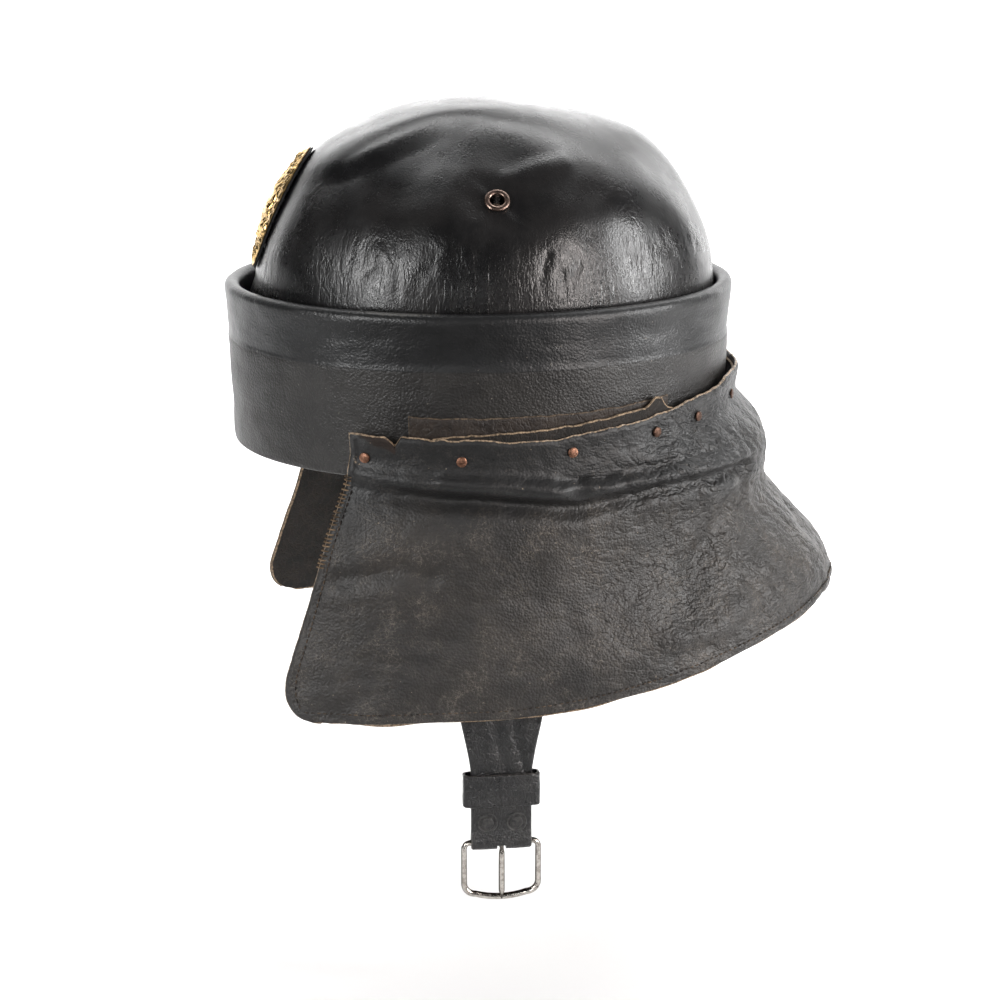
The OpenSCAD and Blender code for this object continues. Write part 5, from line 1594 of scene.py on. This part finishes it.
def make_buckle(look, sizes):
    """Round wire along a closed path: straight bar and sides, tight upper corners and a bowed foot."""
    w, top_r, low_r, foot = 19.2, 3.2, 6.0, -30.4 + sizes.foot_bow
    bar = np.stack([np.linspace(-w + top_r, w - top_r, 30), np.zeros(30)], 1)
    right_top = arc_points(w - top_r, -top_r, top_r, 90, 0, 9)[1:]
    right = upright(w, -top_r, foot + low_r, 16)[1:]
    right_low = arc_points(w - low_r, foot + low_r, low_r, 0, -90, 13)[1:]
    x = np.linspace(w - low_r, -w + low_r, 40)[1:]
    bottom = np.stack([x, foot - sizes.foot_bow * (1 - (x / (w - low_r)) ** 2)], 1)
    mirror = lambda p: p[::-1] * [-1, 1]
    path = np.concatenate([bar, right_top, right, right_low, bottom, mirror(right_low)[1:],
                           mirror(right), mirror(right_top)])
    step = np.linalg.norm(np.diff(path, axis=0, append=path[:1]), axis=1)
    path = path[step > 1e-6]
    ring = np.concatenate([path, path[:1]])
    run = run_length(ring)
    even = np.linspace(0, run[-1], 260, endpoint=False)
    x, z = np.interp(even, run, ring[:, 0]), np.interp(even, run, ring[:, 1])
    wire = WIRE_R + 0.12 * smooth((-20 - z) / 8)
    points = np.stack([STRAP_X + x, np.full(260, BAR_Y), BAR_Z + z], 1)
    points, quads = swept(points, wire, closed=True, sides=18)
    nickel = old_metal("Nickel", look.nickel_bright, look.nickel_dull, look.nickel_crust, (0.14, 0.28),
                       2.2, 0.08, depth=0.02, edge=(0.3, 0.22, 0.18))
    # The `inside` attribute paints shade over the wire's sides and back.
    frame_wire = new_object("buckle_wire", points, quads, nickel, 0,
                            {"inside": painted_side_shade(points, 0, WIRE_R)})
    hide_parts("buckle_frame")
    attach(frame_wire, "buckle")


def make_prong():
    """Tapered wire with a hook round the bar: three quarters of a circle, then a straight drop."""
    nickel = bpy.data.materials["Nickel"]
    ring = np.radians(np.linspace(-90, 180, 30))
    path = np.stack([PRONG_HOOK * np.cos(ring), PRONG_HOOK * np.sin(ring)], 1)
    path = np.concatenate([path, upright(-PRONG_HOOK, 0, -PRONG_REACH, 46)[1:]])
    grown = smooth((-2.5 - path[:, 1]) / 3)
    thick = HOOK_R + (PRONG_R - HOOK_R) * grown - HOOK_R * smooth((-path[:, 1] - PRONG_REACH + 5) / 5.2)
    path3 = np.stack([np.full(len(path), STRAP_X), BAR_Y + path[:, 0], BAR_Z + path[:, 1]], 1)
    points, quads = swept(path3, thick, sides=18)
    # The `inside` attribute paints shade over the prong's sides and back.
    prong = new_object("prong_wire", points, quads, nickel, 0,
                       {"inside": painted_side_shade(points, PRONG_HOOK, PRONG_R)})
    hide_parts("buckle_prong")
    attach(prong, "prong")


def make_eyelets(look):
    """Vent eyelets: a barrel with a rolled flange, turned round the axis of each vent."""
    vent = old_metal("Vent brass", look.vent_bright, look.vent_dull, look.vent_crust, (0.28, 0.45), 2.5,
                     0.3, depth=0.05)
    roll = arc_points(0, 0, 1, 0, 180, 13) * [1.4, 1.0] + [4.9, 0.55]
    loop = np.concatenate([[[4.15, -6.6], [4.15, 0.2], [6.1, 0.2]], roll,
                           [[3.5, -2], [3.5, -7.1], [5.1, -7.1], [5.1, -6.6]]])
    # Painted shade: the barrel's inner wall below the flange is darkened through the `inside` attribute, so
    # the vent hole reads as dark.
    deep = smooth((0.9 - loop[:, 1]) / 0.9) * (loop[:, 0] < 3.7)
    for side, label in ((-1, "left"), (1, "right")):
        eyelet = new_object(f"vent_flange_{label}", *turned(loop, *vent_place(side)), vent, 50,
                            {"inside": np.tile(deep, TURNED_STEPS)})
        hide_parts(f"vent_eyelet_{label}")
        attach(eyelet, "helmet")


def make_pressed_rivets(look):
    """Flat rivets of the strap's fold: a profile turned round each rivet's axis, and its burr behind."""
    cap = np.array([[0.02, -0.5], [5.3, -0.5], [5.45, 0.0], [5.2, 0.4], [4.8, 0.5], [4.4, 0.3],
                    [3.7, 0.05], [3.3, 0.15],
                    [3.15, 0.7], [2.8, 0.95], [1.8, 0.9], [0.9, 1.0], [0.02, 1.0]])
    back = np.array([[0.02, -0.5], [3, -0.5], [3, 0.2], [2.5, 0.6], [1.4, 0.85], [0.02, 0.9]])
    parts = []
    for x in (STRAP_X - PRESSED_X, STRAP_X + PRESSED_X):
        parts.append(turned(cap, (x, -STRAP_Y - STRAP_T / 2, PRESSED_Z), (0, -1, 0)))
        parts.append(turned(back, (x, -STRAP_Y + 1.5 * STRAP_T + 0.2, PRESSED_Z), (0, 1, 0)))
    black = old_metal("Black japanned metal", look.black_metal, look.black_metal_dull, look.black_metal,
                      (0.36, 0.5), 2.0, 0.15, 0.3, 0.1)
    pressed = new_object("pressed_rivets", *merged(parts), black, 40)
    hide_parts("strap_left_rivets")
    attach(pressed, "chin_strap_left")


def finish_nodes(look):
    """Materials for the CAD nodes that stay in sight: rivets, burrs, washers, posts and nuts."""
    # The copper rivets and burrs darken towards the back of the helmet, from X 56 mm to 72 mm.
    copper = old_metal("Copper", look.copper_bright, look.copper_dull, look.copper_crust, (0.3, 0.55),
                       1.6, 0.45, back_darkening=(56, 72))
    vent = bpy.data.materials["Vent brass"]
    brass = old_metal("Post brass", look.gilt_bright, look.gilt_deep, look.copper_crust, (0.3, 0.5), 2.5,
                      0.4)
    for node, material in (("vent_washer_left", vent), ("vent_washer_right", vent), ("flap_rivets", copper),
                           ("flap_burrs", copper), ("badge_posts", brass), ("badge_nuts", brass)):
        mesh = bpy.data.objects[node].data
        mesh.materials.clear()
        mesh.materials.append(material)


# Stage

def look_along(obj, at, to):
    """Puts an object at one place and turns it to face another."""
    obj.location = at
    obj.rotation_euler = (Vector(to) - Vector(at)).to_track_quat("-Z", "Y").to_euler()


def area_light(name, at, to, size, power, colour=(1, 1, 1), spread=180):
    """Rectangular light of a width, height and power in W that faces a point."""
    data = bpy.data.lights.new(name, "AREA")
    data.spread = math.radians(spread)
    data.shape = "RECTANGLE"
    data.size, data.size_y = size
    data.energy, data.color = power, colour
    light = bpy.data.objects.new(name, data)
    bpy.context.scene.collection.objects.link(light)
    look_along(light, at, to)
    return light


FLOOR_Z, FLOOR_END, SHEET_CURVE_R = -0.275, 1.2, 0.9


def make_stage(stage):
    """Camera as fitted to the photograph, pale floor and soft studio lights."""
    data = bpy.data.cameras.new("Camera")
    data.lens, data.sensor_width, data.clip_start, data.clip_end = 87.62, 36.0, 0.05, 20.0
    camera = bpy.data.objects.new("Camera", data)
    bpy.context.scene.collection.objects.link(camera)
    yaw, high, away = math.radians(7.25), math.radians(15.6), 1.3
    target = Vector((0.011, 0.0, -0.0397))
    back = Vector((-math.sin(yaw) * math.cos(high), -math.cos(yaw) * math.cos(high), math.sin(high)))
    look_along(camera, target + away * back, target)
    bpy.context.scene.camera = camera

    curve = np.linspace(6, 90, 15)
    run = np.concatenate([np.stack([np.linspace(-0.3, FLOOR_END, 12), np.zeros(12)], 1),
                          np.stack([FLOOR_END + SHEET_CURVE_R * sind(curve),
                                    SHEET_CURVE_R - SHEET_CURVE_R * cosd(curve)], 1),
                          upright(FLOOR_END + SHEET_CURVE_R, 1.2, 3.2, 6)])
    x = np.linspace(-2.2, 2.2, 9)[:, None]
    grid = xyz(x, run[None, :, 0], run[None, :, 1] + FLOOR_Z) * 1000
    quads = grid_quads(*grid.shape[:2], around=False, up=False)
    floor = new_object("studio_sheet", grid, quads, floor_material(), 0)
    floor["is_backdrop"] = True

    area_light("Overhead softbox", (0.58, 0.45, 1.2), (0.02, 0, 0.1), (0.95, 0.95), stage.overhead)
    area_light("Left strip", (-1.05, -0.8, 0.3), (0, 0, 0.05), (0.15, 0.8), stage.left_strip)
    area_light("Right strip", (0.75, -1.05, 0.25), (0, 0, 0.03), (0.14, 0.9), stage.right_strip,
               (1, 0.93, 0.9))
    area_light("Right window", (1.2, -0.5, 0.3), (0, 0, 0.05), (0.24, 0.9), stage.right_window)
    area_light("Rim light", (1.0, 0.75, 0.4), (0.05, 0, 0.08), (0.4, 1.0), stage.rim)
    area_light("Front fill", (-1.18, -1.02, 0.5), (0, 0, 0.05), (0.42, 0.8), stage.fill)
    area_light("Sheet light", (0, 0.9, 1.9), (0, 1.9, 0.1), (3.2, 0.8), stage.sheet, spread=130)
    area_light("Buckle light", (-0.2, -1.3, 0), (0, -0.1, -0.22), (0.3, 0.3), 0.08, spread=24)

    world = bpy.data.worlds.new("Studio air")
    bpy.context.scene.world = world
    bpy.context.scene.view_settings.view_transform = "Standard"
    world.use_nodes = True
    tree = world.node_tree
    tree.nodes.clear()
    seen = tree.nodes.new("ShaderNodeLightPath").outputs["Is Camera Ray"]
    level = tree.nodes.new("ShaderNodeMapRange")
    tree.links.new(seen, level.inputs["Value"])
    level.inputs["To Min"].default_value = stage.air
    level.inputs["To Max"].default_value = 1.0
    air = tree.nodes.new("ShaderNodeBackground")
    tree.links.new(level.outputs[0], air.inputs["Strength"])
    air.inputs["Color"].default_value = (1, 1, 1, 1)
    tree.links.new(air.outputs[0], tree.nodes.new("ShaderNodeOutputWorld").inputs["Surface"])


# Add-on

def size(label, about, value, low, high):
    """One number that a user can change."""
    return bpy.props.FloatProperty(name=label, description=about, default=value, min=low, max=high)


def colour(label, about, value):
    """One colour that a user can change, in linear values."""
    return bpy.props.FloatVectorProperty(name=label, description=about, default=value, min=0, max=1,
                                         size=3, subtype="COLOR")


class HelmetSizes(bpy.types.PropertyGroup):
    stitch_length: size("Stitch length", "Length of each stitch, mm", 2.3, 1.5, 6)
    stitch_gap: size("Stitch gap", "Gap between stitches, mm", 0.8, 0.5, 3)
    thread_d: size("Thread", "Thickness of the sewing thread, mm", 0.75, 0.4, 1.4)
    hem_margin: size("Hem margin", "Distance from the flap's edge to its stitching, mm", 4.5, 3, 7)
    foot_bow: size("Foot bow", "How far the buckle's foot bows out, mm", 2.0, 0, 4)
    leaves: bpy.props.IntProperty(name="Leaves", description="Leaves round the badge's border",
                                  default=34, min=12, max=80)


class HelmetColours(bpy.types.PropertyGroup):
    crown_deep: colour("Crown", "Crown leather", (0.006, 0.006, 0.0065))
    crown_pale: colour("Crown, faded", "Faded patches of the crown", (0.016, 0.015, 0.015))
    band_high: colour("Band", "Band above its pressed line", (0.0085, 0.0087, 0.0092))
    band_high_pale: colour("Band, faded", "Faded patches above the line", (0.0155, 0.016, 0.017))
    band_low: colour("Band foot", "Band below its pressed line", (0.0115, 0.0105, 0.0098))
    band_low_pale: colour("Band foot, faded", "Faded patches below the line", (0.0215, 0.0195, 0.0178))
    raw_edge: colour("Raw edge", "Cut and torn edges of the leather", (0.36, 0.26, 0.17))
    flap_high: colour("Flap", "Flap near its rivets", (0.0105, 0.0105, 0.0108))
    flap_low: colour("Flap, aged", "Flap below its fold", (0.0165, 0.0148, 0.0135))
    flap_low_pale: colour("Flap, faded", "Faded patches of the flap", (0.03, 0.0262, 0.023))
    lining_dark: colour("Lining leather", "Lining of the flap", (0.012, 0.0105, 0.0095))
    lining_pale: colour("Lining leather, faded", "Faded patches of the lining", (0.022, 0.0185, 0.016))
    facing_dark: colour("Facing", "Facing strips", (0.013, 0.0095, 0.008))
    facing_pale: colour("Facing, faded", "Faded patches of the strips", (0.034, 0.025, 0.0195))
    facing_raw: colour("Facing edge", "Rubbed edges of the strips and backing", (0.13, 0.095, 0.065))
    sweat_dark: colour("Sweatband", "Sweatband and cradle", (0.1, 0.055, 0.03))
    sweat_pale: colour("Sweatband, faded", "Faded patches of the sweatband", (0.21, 0.125, 0.07))
    strap_dark: colour("Straps", "Chin straps", (0.007, 0.007, 0.0075))
    strap_pale: colour("Straps, faded", "Faded patches of the straps", (0.014, 0.0135, 0.0135))
    strap_raw: colour("Strap edge", "Rubbed edges of the straps", (0.06, 0.054, 0.048))
    cloth_dark: colour("Cloth", "Lining of the crown", (0.055, 0.05, 0.042))
    cloth_pale: colour("Cloth, faded", "Faded patches of the cloth", (0.12, 0.11, 0.09))
    felt_dark: colour("Felt", "Felt pads", (0.13, 0.115, 0.095))
    felt_pale: colour("Felt, faded", "Faded patches of the felt", (0.24, 0.22, 0.19))
    lace_dark: colour("Lace", "Cradle lace", (0.05, 0.03, 0.018))
    lace_pale: colour("Lace, faded", "Faded parts of the lace", (0.12, 0.08, 0.05))
    thread_dark: colour("Flap thread", "Stitching of the flap", (0.012, 0.01, 0.009))
    thread_pale: colour("Flap thread, faded", "Faded stitches of the flap", (0.09, 0.065, 0.045))
    oversew_dark: colour("Oversewing", "Oversewing and sweatband stitching", (0.03, 0.02, 0.012))
    oversew_pale: colour("Oversewing, faded", "Faded oversewing", (0.22, 0.15, 0.09))
    gilt_bright: colour("Gilt", "Raised parts of the badge", (1.0, 0.68, 0.3))
    gilt_deep: colour("Gilt, hollows", "Grime in the badge's hollows", (0.09, 0.055, 0.02))
    copper_bright: colour("Copper", "Rivets and burrs", (0.36, 0.185, 0.12))
    copper_dull: colour("Copper, dull", "Dull copper", (0.21, 0.11, 0.075))
    copper_crust: colour("Copper crust", "Grime on the copper", (0.07, 0.045, 0.035))
    vent_bright: colour("Vent brass", "Vent eyelets", (0.3, 0.22, 0.18))
    vent_dull: colour("Vent brass, dull", "Dull parts of the eyelets", (0.15, 0.1, 0.085))
    vent_crust: colour("Vent rust", "Rust on the eyelets", (0.06, 0.035, 0.025))
    nickel_bright: colour("Nickel", "Buckle and prong", (0.6, 0.57, 0.53))
    nickel_dull: colour("Nickel, dull", "Dull parts of the buckle", (0.36, 0.33, 0.3))
    nickel_crust: colour("Nickel crust", "Grime on the buckle", (0.12, 0.1, 0.08))
    black_metal: colour("Black metal", "Pressed rivets of the strap", (0.012, 0.012, 0.013))
    black_metal_dull: colour("Black metal, dull", "Rubbed parts of the pressed rivets",
                             (0.05, 0.048, 0.046))


class HelmetStage(bpy.types.PropertyGroup):
    overhead: size("Overhead", "Power of the overhead softbox, W", 5, 0, 200)
    left_strip: size("Left strip", "Power of the left strip, W", 5, 0, 100)
    right_strip: size("Right strip", "Power of the narrow right strip, W", 9, 0, 100)
    right_window: size("Right window", "Power of the wide right softbox, W", 15, 0, 100)
    sheet: size("Sheet light", "Power of the light on the backdrop, W", 75, 0, 400)
    rim: size("Rim", "Power of the light behind on the right, W", 4.5, 0, 100)
    fill: size("Fill", "Power of the broad light in front, W", 8, 0, 100)
    air: size("Air", "Strength of the studio's stray light", 0.03, 0, 2)


class HELMET_OT_stage(bpy.types.Operator):
    """Camera, pale floor and soft lights"""
    bl_idname, bl_label = "helmet.stage", "Studio"

    def execute(self, context):
        make_stage(context.scene.helmet_stage)
        return {"FINISHED"}


class HELMET_OT_crown(bpy.types.Operator):
    """Moulded crown with its hollows, puckers and cloth lining"""
    bl_idname, bl_label = "helmet.crown", "Crown"

    def execute(self, context):
        look = context.scene.helmet_colours
        make_crown(look)
        make_crown_lining(look)
        return {"FINISHED"}


class HELMET_OT_band(bpy.types.Operator):
    """Padded band with its rounded rim, pressed line and felt"""
    bl_idname, bl_label = "helmet.band", "Band"

    def execute(self, context):
        look = context.scene.helmet_colours
        make_band(look)
        make_band_felt(look)
        return {"FINISHED"}


class HELMET_OT_badge(bpy.types.Operator):
    """Gilt relief plate and its leather backing"""
    bl_idname, bl_label = "helmet.badge", "Badge"

    def execute(self, context):
        look = context.scene.helmet_colours
        make_badge(look, context.scene.helmet_sizes)
        make_badge_backing(look)
        return {"FINISHED"}


class HELMET_OT_flap(bpy.types.Operator):
    """Folded neck flap and its lining"""
    bl_idname, bl_label = "helmet.flap", "Neck flap"

    def execute(self, context):
        look = context.scene.helmet_colours
        make_flap(look, context.scene.helmet_sizes)
        make_flap_lining(look)
        return {"FINISHED"}


class HELMET_OT_facings(bpy.types.Operator):
    """Thin strips between the band and the flap"""
    bl_idname, bl_label = "helmet.facings", "Facing strips"

    def execute(self, context):
        make_facings(context.scene.helmet_colours)
        return {"FINISHED"}


class HELMET_OT_flap_stitching(bpy.types.Operator):
    """Stitched line round the flap and oversewing at its front edges"""
    bl_idname, bl_label = "helmet.flap_stitching", "Flap stitching"

    def execute(self, context):
        look = context.scene.helmet_colours
        make_flap_stitching(look, context.scene.helmet_sizes)
        make_oversewing(look)
        return {"FINISHED"}


class HELMET_OT_sweatband(bpy.types.Operator):
    """Sweatband, its stitching and the felt behind it"""
    bl_idname, bl_label = "helmet.sweatband", "Sweatband"

    def execute(self, context):
        look = context.scene.helmet_colours
        make_sweatband(look)
        make_sweatband_stitching(look, context.scene.helmet_sizes)
        make_sweatband_felt(look)
        return {"FINISHED"}


class HELMET_OT_cradle(bpy.types.Operator):
    """Cradle's tongues and the lace that gathers them"""
    bl_idname, bl_label = "helmet.cradle", "Cradle"

    def execute(self, context):
        look = context.scene.helmet_colours
        make_cradle(look)
        make_lace(look)
        return {"FINISHED"}


class HELMET_OT_straps(bpy.types.Operator):
    """Both chin straps and the keeper loop"""
    bl_idname, bl_label = "helmet.straps", "Straps"

    def execute(self, context):
        make_straps(context.scene.helmet_colours)
        make_keeper()
        return {"FINISHED"}


class HELMET_OT_metal(bpy.types.Operator):
    """Buckle, prong, vent eyelets and rivets"""
    bl_idname, bl_label = "helmet.metal", "Buckle and metal"

    def execute(self, context):
        look = context.scene.helmet_colours
        make_buckle(look, context.scene.helmet_sizes)
        make_prong()
        make_eyelets(look)
        make_pressed_rivets(look)
        finish_nodes(look)
        return {"FINISHED"}


OPERATORS = (HELMET_OT_stage, HELMET_OT_crown, HELMET_OT_band, HELMET_OT_badge, HELMET_OT_flap,
             HELMET_OT_facings, HELMET_OT_flap_stitching, HELMET_OT_sweatband, HELMET_OT_cradle,
             HELMET_OT_straps, HELMET_OT_metal)


class HELMET_PT_build(bpy.types.Panel):
    """Sizes, colours, lights and pieces of the helmet"""
    bl_idname, bl_label = "HELMET_PT_build", "Leather helmet"
    bl_space_type, bl_region_type, bl_category = "VIEW_3D", "UI", "Helmet"

    def draw(self, context):
        layout = self.layout
        for group in (context.scene.helmet_sizes, context.scene.helmet_colours, context.scene.helmet_stage):
            column = layout.column(align=True)
            for key in group.bl_rna.properties.keys():
                if key not in ("rna_type", "name"):
                    column.prop(group, key)
        for cls in OPERATORS:
            layout.operator(cls.bl_idname)


CLASSES = (HelmetSizes, HelmetColours, HelmetStage, *OPERATORS, HELMET_PT_build)


def register():
    for cls in CLASSES:
        bpy.utils.register_class(cls)
    bpy.types.Scene.helmet_sizes = bpy.props.PointerProperty(type=HelmetSizes)
    bpy.types.Scene.helmet_colours = bpy.props.PointerProperty(type=HelmetColours)
    bpy.types.Scene.helmet_stage = bpy.props.PointerProperty(type=HelmetStage)


def unregister():
    for key in ("helmet_stage", "helmet_colours", "helmet_sizes"):
        delattr(bpy.types.Scene, key)
    for cls in reversed(CLASSES):
        bpy.utils.unregister_class(cls)


def main():
    register()
    bpy.ops.helmet.stage()
    bpy.ops.helmet.crown()
    bpy.ops.helmet.band()
    bpy.ops.helmet.badge()
    bpy.ops.helmet.flap()
    bpy.ops.helmet.facings()
    bpy.ops.helmet.flap_stitching()
    bpy.ops.helmet.sweatband()
    bpy.ops.helmet.cradle()
    bpy.ops.helmet.straps()
    bpy.ops.helmet.metal()
    boxes = {"cad": [list(corner) for corner in CAD_BOX],
             "visual": [list(corner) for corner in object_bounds()]}


if __name__ == "__main__":
    main()
